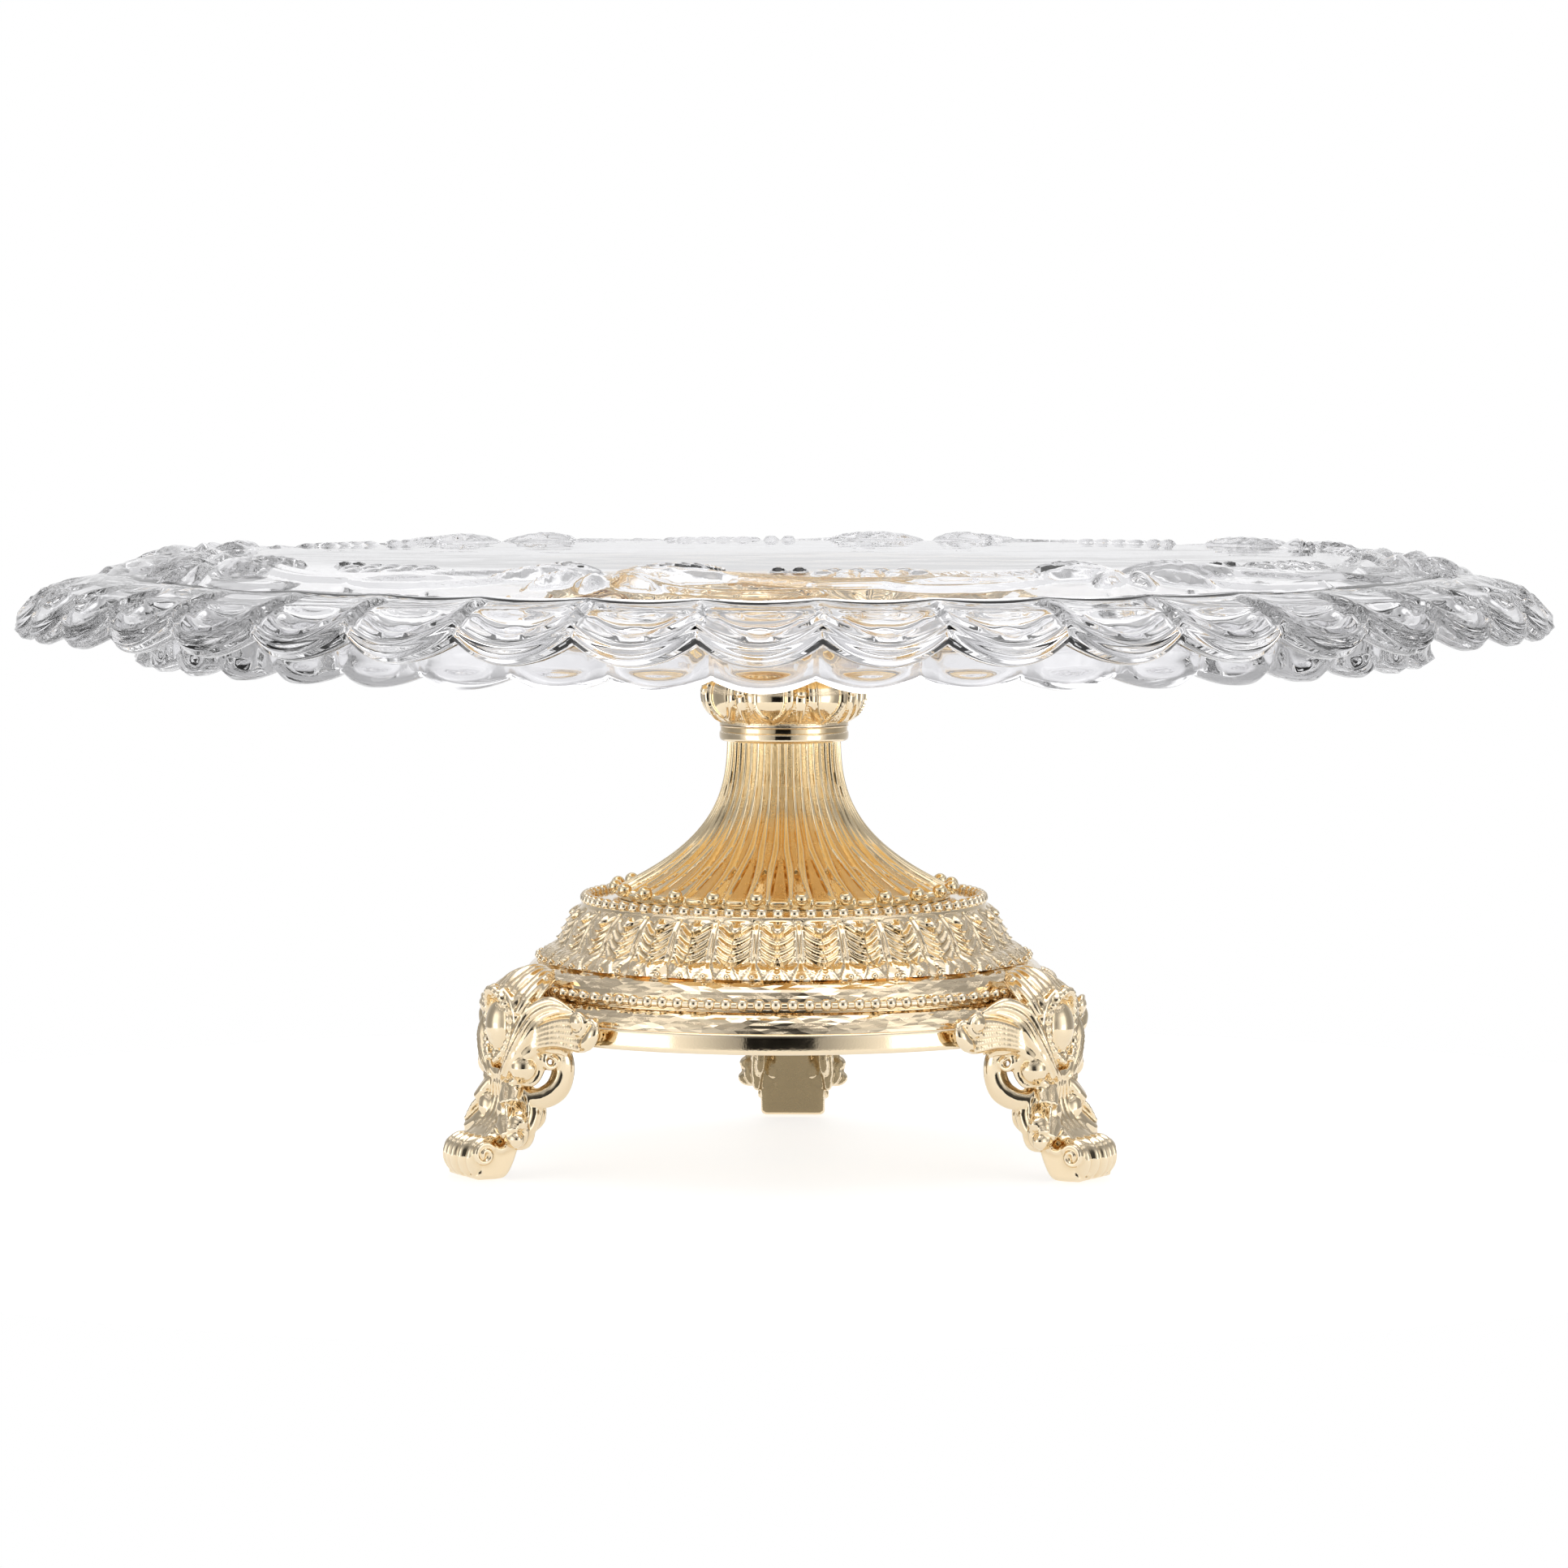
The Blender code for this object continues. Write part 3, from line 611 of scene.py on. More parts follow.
def stem():
    low, high = box_mm("stem")
    top, bottom = high[2] + 0.25, low[2]
    foot = bottom + 2.1
    rows = 84
    heights = top - (top - foot) * np.linspace(0, 1, 200)
    outside = resample(np.stack([stem_radius(heights, top), heights], axis=1), rows)
    base = [(outside[-1][0] + 0.3, bottom + 1.0), (outside[-1][0] - 0.2, bottom)]
    inside = [(max(r - 3.4, 8.6), max(z - 1.2, bottom)) for r, z in outside[::-14]]
    outline = np.vstack([outside, base, [(outside[-1][0] - 4.0, bottom)], inside])
    steps = RIBS * 38

    pit = bottom + 6.2

    def layout(r, z, theta):
        """Distance from the bead line, where the rib starts and ends, and the tongue's half width."""
        turn = theta / TAU * RIBS + 0.5
        half = TAU / RIBS * r / 2
        x = np.abs(turn - np.round(turn)) * 2 * half
        channel = (0.46 + 0.14 * smoothstep(half, 1.6, 4.0)) * (0.25 + 0.75 * smoothstep(z, pit, pit + 6.0))
        tongue = 0.16 + 0.28 * smoothstep(z, bottom + 13, bottom + 26)
        tongue = tongue + 1.75 * np.clip((bottom + 11.5 - z) / 9.9, 0, 1) ** 0.9
        wedge = 0.25 + 1.25 * np.clip((pit - z) / 4.0, 0, 1)
        return x, np.where(z > pit, channel, wedge), half - tongue, tongue

    def push(r, z, theta, row):
        x, start, end, tongue = layout(r, z, theta)
        depth = np.clip(0.60 * (end - start), 0.42, 1.0)
        q = np.clip((x - start) / (end - start + 1e-6), 0, 1) * 2 - 1
        h = -depth * np.abs(q) ** 2.2
        h = np.where(x < start, np.where(z > pit, -0.9, -0.45) * depth, h)
        flat = smoothstep(tongue, 0.3, 1.0)
        h = np.where(x > end, (-0.9 + 0.4 * flat) * depth, h)
        h -= 0.45 * flat * depth * ridge(x, end, 0.22)
        h -= 1.0 * np.exp(-((x / 0.5) ** 2) - (((z - pit - 0.3) / 0.8) ** 2))
        h *= 1 + 0.9 * smoothstep(r, 18.0, 33.0)  # the flare leans back, so it needs more to look as deep
        return np.where(row < rows, r + h, r), z

    body = turned("stem_body", outline, steps, push=push, loop=True)
    ring = outside[-1][0] - 0.25
    big = beads("stem_beads", RIBS, ring + 0.55, bottom + 2.25, 1.55, phase=0.5, segments=24, rings=16)
    bars = []
    for k in range(RIBS):
        t0 = k * TAU / RIBS
        span = 0.24 * TAU / RIBS
        arc = np.linspace(-span, span, 11)
        around = np.arange(14) * TAU / 14
        rows_of_bar = []
        for a in arc:
            fall = math.sqrt(max(0.0, 1 - (abs(a) / span) ** 4)) * 0.92 + 0.08
            rr = ring + 0.25 + 0.95 * fall * np.cos(around)
            zz = bottom + 1.3 + 0.75 * fall * np.sin(around)
            rows_of_bar.append(np.stack([rr * np.sin(t0 + a), -rr * np.cos(t0 + a), zz], axis=-1))
        bars.append(grid_mesh(f"bar_{k}", np.swapaxes(np.array(rows_of_bar), 0, 1), caps=True))
    mesh = merged("fluted_stem", [body, big, outward(merged("bars", bars))])
    stem_object = add_casting("fluted_stem", mesh, SATIN, ["stem"], angle=60)
    # the channels and tongues are left stippled
    mesh.materials.append(STIPPLED)
    x, y, height = (np.array([p.center[:] for p in mesh.polygons]) / MM).T
    reach, full = np.hypot(x, y), stem_radius(height, top)
    across, start, end, _ = layout(full, height, np.arctan2(x, -y))
    matte = (height > foot) & (reach < full + 0.05) & (reach > full - 2.5)
    matte &= ((across < start) & (height > pit)) | (across > end)
    mesh.polygons.foreach_set("material_index", matte.astype(np.int32))
    return stem_object


LEAVES = 32


def leaf_skirt():
    low, high = box_mm("leaf_skirt")
    top, bottom = high[2], low[2]
    face = [(43.7, top - 0.6), (44.3, top - 1.8), (46.3, top - 3.9), (47.9, top - 6.6), (49.3, top - 9.4)]
    face = spline([*face, (51.2, top - 10.9), (52.6, top - 12.2), (53.3, bottom + 0.25)], 68)
    crown = [(30.0, top + 0.2), (37.0, top + 0.2), (40.8, top), (41.2, top - 0.3), (43.0, top - 0.45)]
    inside = [(52.6, bottom), (50.4, bottom), (46.0, bottom + 4.0), (41.5, top - 2.2), (30.0, top - 2.2)]
    outline = np.vstack([crown, face, inside])
    first, last = len(crown), len(crown) + len(face)
    height = top - bottom

    def push(r, z, theta, row):
        turn = theta / TAU * LEAVES
        pitch = TAU / LEAVES * 48.0
        x = np.abs(turn - np.round(turn)) * pitch
        y = (top - 1.2 - z) / (height - 1.2)  # 0 at the leaf's root, 1 at its tip
        half = 0.425 * pitch * (1 - 0.30 * smoothstep(y, 0.74, 1.0))
        d = np.clip(x / half, 0, 1)
        down = y * height + 2.3 * d**1.7  # the strokes hang towards the midrib
        scoop = np.sin(math.pi * ((down / 2.05) % 1.0)) ** 0.8
        feathered = smoothstep(y, 0.06, 0.12) * (1 - smoothstep(y + 0.08 * d, 0.76, 0.82))
        leaf = 0.45 + 0.55 * (1 - d**3) - 0.85 * scoop * feathered
        leaf += 0.35 * ridge(x, 0, 0.24) * feathered
        stem_line = 0.18 + 2.4 * np.clip((y - 0.58) / 0.42, 0, 1) ** 1.5
        leaf += 0.45 * ridge(x, stem_line, 0.26) * smoothstep(y, 0.56, 0.64)
        cells = np.cos(x * 7.5 + 2.5 * np.sin(z * 2.9)) * np.cos(z * 7.0 + 2.0 * np.sin(x * 2.3))
        leaf += 0.10 * cells * smoothstep(y, 0.72, 0.80)
        leaf = np.where(x < half, leaf, -0.15)
        side_line = 0.62 * ridge(x, half, 0.22) * (1 - smoothstep(y, 0.74, 0.84))
        dart = 0.30 * ridge(x, pitch / 2, 0.20) * (1 - smoothstep(y, 0.55, 0.7))
        knob = 1.45 * domed((x**2 + ((y - 0.13) * height) ** 2) / 1.35**2)
        lift = np.maximum(np.maximum(leaf, side_line), np.maximum(dart - 0.15, knob + 0.35 * (knob > 0)))
        on_face = (row >= first) & (row < last)
        fade = smoothstep(y, 0.0, 0.05) * on_face
        tips = 0.55 * np.cos(turn * 2 * TAU) * smoothstep(y, 0.86, 1.0) * on_face
        return r - 0.75 * fade + lift * fade + 0.3 * tips, z

    body = turned("leaf_body", outline, LEAVES * 34, push=push, loop=True)
    fine = beads("fine_beads", 78, 42.9, top + 0.1, 1.3, segments=14, rings=8)
    tips = beads("tip_beads", LEAVES * 2, 53.3, bottom + 0.8, 0.68, segments=10, rings=7)
    mesh = merged("acanthus_skirt", [body, fine, tips])
    return add_casting("acanthus_skirt", mesh, POLISHED, ["leaf_skirt"], angle=70)


def hammered_face(name, outline, columns, jitter):
    """A turned face cut into long diamonds: each row of corners is turned half a step."""
    rows = len(outline)
    verts, faces = [], []
    for j, (r, z) in enumerate(outline):
        edge = j in (0, rows - 1)
        for i in range(columns):
            t = (i + 0.5 * (j % 2)) * TAU / columns
            wobble = 0.0 if edge else rng.uniform(-jitter, jitter)
            t += 0.0 if edge else rng.uniform(-0.22, 0.22) * TAU / columns
            rr, zz = r + wobble, z + wobble * 0.8
            verts.append((rr * math.sin(t) * MM, -rr * math.cos(t) * MM, zz * MM))
    for j in range(rows - 1):
        for i in range(columns):
            a, b = j * columns + i, j * columns + (i + 1) % columns
            c, d = (j + 1) * columns + i, (j + 1) * columns + (i + 1) % columns
            if j % 2 == 0:
                faces += [(a, b, c), (b, d, c)]
            else:
                faces += [(a, b, d), (a, d, c)]
    mesh = bpy.data.meshes.new(name)
    mesh.from_pydata(verts, [], faces)
    return mesh


def closed_tier(name, face, columns, jitter, back):
    """The hammered face with a plain back, closed into one ring."""
    outline = list(face) + list(back)
    rows = len(outline)
    mesh = hammered_face(name, outline, columns, 0.0)
    coords = np.array([v.co[:] for v in mesh.vertices]).reshape(rows, columns, 3)
    for j in range(1, len(face) - 1):
        push = rng.uniform(-jitter, jitter, columns) * MM
        slide = rng.uniform(-0.2, 0.2, columns) * TAU / columns
        x, y = coords[j, :, 0].copy(), coords[j, :, 1].copy()
        r = np.hypot(x, y)
        t = np.arctan2(x, -y) + slide
        coords[j, :, 0] = (r + push) * np.sin(t)
        coords[j, :, 1] = -(r + push) * np.cos(t)
        coords[j, :, 2] += 0.8 * push
    bm = bmesh.new()
    bm.from_mesh(mesh)
    flat = coords.reshape(-1, 3)
    for vertex, co in zip(bm.verts, flat):
        vertex.co = co
    bm.verts.ensure_lookup_table()
    last = (rows - 1) * columns
    for i in range(columns):
        nxt = (i + 1) % columns
        if rows % 2 == 0:
            corners = [(last + i, last + nxt, nxt), (last + i, nxt, i)]
        else:
            corners = [(last + i, last + nxt, i), (last + nxt, nxt, i)]
        for corner in corners:
            bm.faces.new([bm.verts[k] for k in corner])
    bmesh.ops.recalc_face_normals(bm, faces=bm.faces)
    bm.to_mesh(mesh)
    bm.free()
    return mesh


def upper_tier():
    low, high = box_mm("upper_tier")
    top, bottom = high[2] + 0.28, low[2] - 0.28
    face = [(52.4, top), (54.3, top - 0.7), (55.6, top - 2.0), (56.4, top - 3.6), (56.5, top - 4.6)]
    back = [(56.4, bottom), (52.3, bottom), (50.0, top - 1.6), (46.0, top - 1.4)]
    back += [(46.0, top - 0.3), (51.0, top - 0.2)]
    mesh = closed_tier("hammered_upper_tier", spline(face, 11), 124, 0.10, back)
    return add_casting("hammered_upper_tier", mesh, POLISHED, ["upper_tier"], smooth=False)


def bead_ring():
    low, high = box_mm("bead_ring")
    ring = high[1] - 1.2
    height = (low[2] + high[2]) / 2
    pearls = beads("pearls", 104, ring, height + 0.1, 1.3, segments=20, rings=14)
    around = np.arange(10) * TAU / 10
    core = [(ring - 0.25 + 0.75 * math.cos(a), height - 0.1 - 0.75 * math.sin(a)) for a in around]
    wire = turned("bead_wire", core, 208, loop=True)
    mesh = merged("pearl_row", [pearls, wire])
    return add_casting("pearl_row", mesh, POLISHED, ["bead_ring"], angle=60)


def base_ring():
    low, high = box_mm("base_ring")
    top, bottom, radius = high[2], low[2], high[0]
    face = spline([(58.0, top), (59.4, top - 0.8), (60.4, top - 2.2), (61.0, top - 4.1)], 10)
    back = [(60.6, top - 4.3), (57.6, top - 4.4), (57.6, top - 2.0), (50.0, top - 2.0)]
    back += [(50.0, top), (54.0, top)]
    tier = closed_tier("hammered_lower_tier", face, 132, 0.10, back)
    add_casting("hammered_lower_tier", tier, POLISHED, ["base_ring"], smooth=False)
    shoulder = spline([(60.3, top - 4.1), (61.1, top - 4.15), (61.45, top - 4.45)], 8)
    wall = [
        (radius, top - 4.9), (radius, bottom + 0.8), (radius - 0.15, bottom + 0.25),
        (radius - 0.6, bottom),
    ]
    inside = [(57.6, bottom), (57.3, bottom + 0.3), (57.3, top - 4.4)]
    band = np.vstack([shoulder, spline(wall, 14), inside])
    ring = turned("polished_band_ring", band, 384, loop=True)
    web = [(3.5, top - 0.05), (50.2, top - 0.05), (57.4, top - 1.0), (57.4, top - 2.1), (3.5, top - 2.1)]
    web = turned("base_web", web, 192, loop=True)
    mesh = merged("polished_band", [ring, web])
    add_casting("polished_band", mesh, POLISHED, ["base_ring"], angle=40)


# ------------------------------------------------------------------ legs
# A leg is built in its own frame: r outwards, t sideways, z up, all in millimetres.

LEG_ANGLES = {"leg_front_left": -150.0, "leg_front_right": -30.0, "leg_back": 90.0}
VOXEL = 0.27


def unit(v):
    return v / (np.linalg.norm(v, axis=-1, keepdims=True) + 1e-9)


def strand(path, width, height, up=(1, 0, 0.2), ribs=0, rib=0.0, groove=0.0, belly=0.6, count=30, sides=22):
    """A closed strip along a smooth path, domed on the side that faces up, with flutes or a groove."""
    line = spline(path, count)
    s = np.linspace(0, 1, count)
    half = np.interp(s, np.linspace(0, 1, len(width)), width)[:, None]
    rise = np.interp(s, np.linspace(0, 1, len(height)), height)[:, None]
    along = unit(np.gradient(line, axis=0))
    ups = np.asarray(up, dtype=float)
    if ups.ndim == 1:
        ups = np.tile(ups, (2, 1))
    k = np.linspace(0, 1, len(ups))
    normal = np.stack([np.interp(s, k, ups[:, c]) for c in range(3)], axis=1)
    side = unit(np.cross(along, normal))
    normal = unit(np.cross(side, along))
    a = (np.arange(sides) + 0.5) * TAU / sides
    x, y = np.cos(a)[None, :], np.sin(a)[None, :]
    dome = np.abs(y) ** 0.8
    top = dome * (1 + rib * np.cos(ribs * math.pi * x)) - groove * ridge(x, 0, 0.35)
    profile = np.where(y > 0, top, -belly * dome)
    points = line[None] + side[None] * (half * x).T[..., None] + normal[None] * (rise * profile).T[..., None]
    return outward(grid_mesh("strand", points, caps=True))


def ellipsoid(centre, radii, tilt=0.0, segments=32, rings=20):
    """tilt turns it about the sideways axis, in degrees."""
    r, t, z = (unit_ball(segments, rings)[..., k] * radii[k] for k in range(3))
    c, s = math.cos(math.radians(tilt)), math.sin(math.radians(tilt))
    points = np.stack([r * c - z * s, t, r * s + z * c], axis=-1) + np.asarray(centre, dtype=float)
    return outward(grid_mesh("ellipsoid", points, caps=True))


def mirrored(mesh):
    copy = mesh.copy()
    for vertex in copy.vertices:
        vertex.co.y = -vertex.co.y
    return outward(copy)


def ring_point(angle, radius, z):
    """A point beside the leg, on a circle round the stand's axis."""
    a = math.radians(angle)
    return (radius * math.cos(a), radius * math.sin(a), z)


def leg_column():
    """The S-shaped core: an oval section swept down the leg."""
    stations = [
        (59.5, 41.2, 1.9, 5.2, 70),
        (62.4, 39.6, 2.9, 6.4, 55),
        (64.7, 36.6, 3.5, 6.9, 25),
        (65.3, 33.0, 3.7, 6.9, 5),
        (65.2, 28.4, 3.8, 6.3, -6),
        (64.7, 23.4, 3.2, 5.3, -8),
        (64.7, 18.6, 2.6, 4.7, 4),
        (66.2, 14.0, 2.7, 4.9, 22),
        (68.7, 9.9, 3.0, 5.8, 40),
        (72.0, 6.3, 3.7, 6.8, 62),
        (74.8, 4.8, 3.7, 6.9, 88),
    ]
    data = spline([(a, b, c, d, e) for a, b, c, d, e in stations], 60)
    angle = np.arange(48) * TAU / 48
    c, s = np.cos(angle), np.sin(angle)
    square = (np.abs(c) ** 3.2 + np.abs(s) ** 3.2) ** (-1 / 3.2)
    points = []
    for r, z, depth, half, lean in data:
        lean = math.radians(lean)
        out = depth * c * square
        section = [r + out * math.cos(lean), half * s * square, z + out * math.sin(lean)]
        points.append(np.stack(section, axis=-1))
    grid = np.swapaxes(np.array(points), 0, 1)
    return outward(grid_mesh("column", grid, caps=True))


def leg_shell():
    """Ribbed shell over the knee, folding in over the upper tier."""
    for k in range(-4, 5):
        t = 1.88 * k
        drop = 0.26 * abs(k) ** 1.6
        wave = 0.25 * math.cos(k * math.pi)
        path = [
            (57.4, 0.50 * t, 43.4 - drop * 0.4), (60.2, 0.78 * t, 43.5 - drop * 0.8),
            (63.4, 1.00 * t, 42.1 - drop + wave), (66.4, 1.10 * t, 39.9 - drop),
            (68.6 - 0.10 * abs(k), 1.08 * t, 37.2 - 0.8 * drop - wave),
        ]
        yield strand(
            path, [0.6, 0.95, 1.12, 1.1, 0.7], [0.8, 1.25, 1.35, 1.2, 0.6],
            up=[(0.2, 0, 1), (1, 0, 0.6)],
        )
    yield ellipsoid((62.2, 0, 40.2), (5.4, 7.2, 2.6), tilt=-18)
    for side in (-1, 1):
        fold = [
            (58.2, side * 4.8, 41.8), (60.8, side * 6.8, 41.0), (63.6, side * 7.9, 38.6),
            (65.4, side * 7.8, 36.2),
        ]
        yield strand(fold, [0.9, 1.4, 1.4, 0.7], [0.8, 1.1, 1.0, 0.6], up=(0.4, side, 0.8), groove=0.15)
        for step in range(4):
            place = (57.4 + 1.1 * step, side * (3.2 + 1.15 * step), 42.9 - 0.25 * step)
            yield ellipsoid(place, (0.75, 0.75, 0.75))


def leg_cabochon():
    """Polished oval boss framed by beads."""
    yield ellipsoid((66.9, 0, 32.2), (4.3, 4.3, 6.2), tilt=3)
    for k in range(13):
        a = math.radians(-66 + k * 13.0)
        t = 5.5 * math.cos(a)
        z = 32.2 + 7.6 * math.sin(a)
        r = 70.6 - 0.075 * t * t - 0.010 * (z - 32) ** 2
        for side in (-1, 1):
            if t > -0.3:
                yield ellipsoid((r, side * max(t, 0.0), z), (1.2, 0.92, 0.92), segments=18, rings=12)
    for t, z in ((0.0, 40.2), (-1.0, 38.9), (1.0, 38.9), (0.0, 24.7), (-1.3, 25.4), (1.3, 25.4), (0.0, 26.3)):
        yield ellipsoid((69.4 if z > 30 else 69.2, t, z), (1.0, 0.85, 0.85), segments=18, rings=12)
    for side in (-1, 1):
        frame_line = [
            (68.4, side * 2.2, 40.0), (67.9, side * 5.8, 37.2), (67.4, side * 6.9, 33.0),
            (67.8, side * 6.0, 28.0), (68.6, side * 3.2, 23.6), (68.7, side * 0.8, 21.4),
        ]
        yield strand(frame_line, [0.5, 0.8, 0.85, 0.85, 0.8, 0.5], [0.8, 1.2, 1.3, 1.3, 1.1, 0.6])


def leg_wing():
    """Acanthus leaves that sweep up and back along the base ring, on the +t side."""
    base = [(68.7, 2.2, 21.0), (68.6, 5.6, 25.0)]
    out = [(1, 0.5, 0), (0.9, 0.9, 0.1)]
    # upper pointed leaflet
    path = [
        *base, (67.6, 8.6, 30.0), ring_point(8.6, 65.8, 34.6), ring_point(12.4, 64.2, 36.8),
        ring_point(17.2, 62.9, 36.2),
    ]
    yield strand(
        path, [0.6, 1.5, 2.2, 2.7, 2.3, 0.3], [0.8, 1.4, 1.5, 1.4, 1.1, 0.3], up=out, ribs=3, rib=0.22,
        groove=0.25,
    )
    yield strand(path, [0.3, 0.45, 0.5, 0.5, 0.4, 0.2], [1.2, 1.9, 1.9, 1.6, 1.3, 0.4], up=out)
    # middle leaflet, broad, with a volute on its upper corner and a rolled end
    for k, lift in enumerate((0.3, -1.1, -2.5, -3.9, -5.3)):
        end = 23.8 - 0.7 * k
        path = [
            (68.6, 3.6 + 0.3 * k, 21.6), (68.2, 7.4, 26.0 - 0.2 * k),
            ring_point(8.8, 65.6, 31.0 + 0.6 * lift), ring_point(14.0, 64.4, 33.4 + 0.8 * lift),
            ring_point(19.4, 63.7, 33.9 + lift), ring_point(end, 63.6, 34.2 + 1.02 * lift),
        ]
        yield strand(path, [0.5, 0.75, 0.85, 0.9, 0.9, 0.9], [0.9, 1.6, 1.7, 1.6, 1.6, 1.6], up=out, count=84)
    yield ellipsoid(ring_point(20.2, 64.6, 34.4), (1.7, 1.8, 1.7))
    spiral = []
    for k in range(14):
        a = math.radians(-120 + 38 * k)
        size = 2.5 - 0.13 * k
        turn = 20.2 + math.degrees(size * math.cos(a) / 64.5)
        spiral.append(ring_point(turn, 64.9 + 0.05 * k, 34.3 + size * math.sin(a)))
    yield strand(spiral, [0.5, 0.55, 0.4], [0.7, 0.8, 0.6], up=(1, 0.4, 0), count=60, sides=12)
    roll = [
        ring_point(23.9, 64.0, 34.6), ring_point(24.0, 64.8, 32.4), ring_point(22.6, 64.8, 30.2),
        ring_point(19.8, 64.2, 28.6),
    ]
    yield strand(roll, [0.7, 1.5, 1.6, 0.6], [0.7, 1.3, 1.3, 0.6], up=(1, 0.5, 0))
    # lower leaflet with a serrated end
    for k, lift in enumerate((0.0, -1.3, -2.5)):
        path = [
            (68.4, 6.0, 23.4 + 0.3 * k), (67.0, 8.9, 26.6 - 0.3 * k),
            ring_point(9.8, 65.0, 29.2 + 0.5 * lift), ring_point(13.8, 63.8, 29.6 + 0.8 * lift),
            ring_point(18.8 - 1.5 * k, 63.2, 28.4 + 0.7 * lift),
        ]
        yield strand(path, [0.5, 1.0, 1.1, 1.1, 0.3], [0.7, 1.3, 1.3, 1.1, 0.4], up=out, groove=0.15)
    # the leaf's body behind the flutes
    backing = [
        (66.0, 6.0, 26.5), ring_point(8.5, 64.4, 31.5), ring_point(12.6, 63.6, 32.6),
        ring_point(17.6, 62.9, 32.4), ring_point(22.2, 62.7, 32.0),
    ]
    yield strand(backing, [3.0, 5.4, 4.6, 3.8, 2.4], [0.9, 1.0, 0.9, 0.8, 0.7], up=out, belly=0.5)


def leg_scroll():
    """Open C-scroll on the inner side, with its volutes, on the +t side."""
    outer = [
        (62.8, 9.4, 25.0), (62.3, 9.6, 27.4), (60.4, 10.0, 28.2), (58.7, 10.2, 26.4),
        (58.2, 10.2, 22.6), (59.4, 9.8, 19.0), (62.0, 8.8, 17.2), (64.8, 7.6, 17.2),
        (66.6, 6.4, 18.8),
    ]
    facing = [(-0.2, 1, 0), (0, 1, 0)]
    yield strand(
        outer, [1.0, 1.4, 1.9, 2.2, 2.3, 2.5, 2.4, 1.9, 0.8],
        [1.4, 1.8, 1.9, 2.0, 2.0, 2.0, 1.9, 1.6, 1.0], up=facing, belly=1.6, count=54,
    )
    curl = []
    for k in range(12):
        a = math.radians(100 - 36 * k)
        size = 2.0 - 0.13 * k
        curl.append((61.6 + size * math.cos(a), 10.6 + 0.06 * k, 25.0 + size * math.sin(a)))
    yield strand(curl, [0.7, 0.7, 0.5], [0.9, 0.9, 0.8], up=facing, count=50, sides=12)
    yield ellipsoid((66.4, 7.9, 23.6), (3.1, 2.9, 3.2))
    lip = [(68.2, 7.6, 26.6), (65.4, 9.8, 26.6), (63.4, 9.8, 23.6), (65.0, 9.2, 20.4), (67.6, 7.4, 20.2)]
    yield strand(lip, [0.5, 0.8, 0.8, 0.7, 0.4], [0.7, 0.9, 0.9, 0.8, 0.5], up=facing, count=36, sides=14)
    yield strand(
        [(67.8, 4.6, 19.4), (68.2, 6.4, 20.6), (67.4, 8.2, 21.0)], [0.7, 0.9, 0.5], [0.8, 1.0, 0.5],
        up=(1, 0.6, 0),
    )


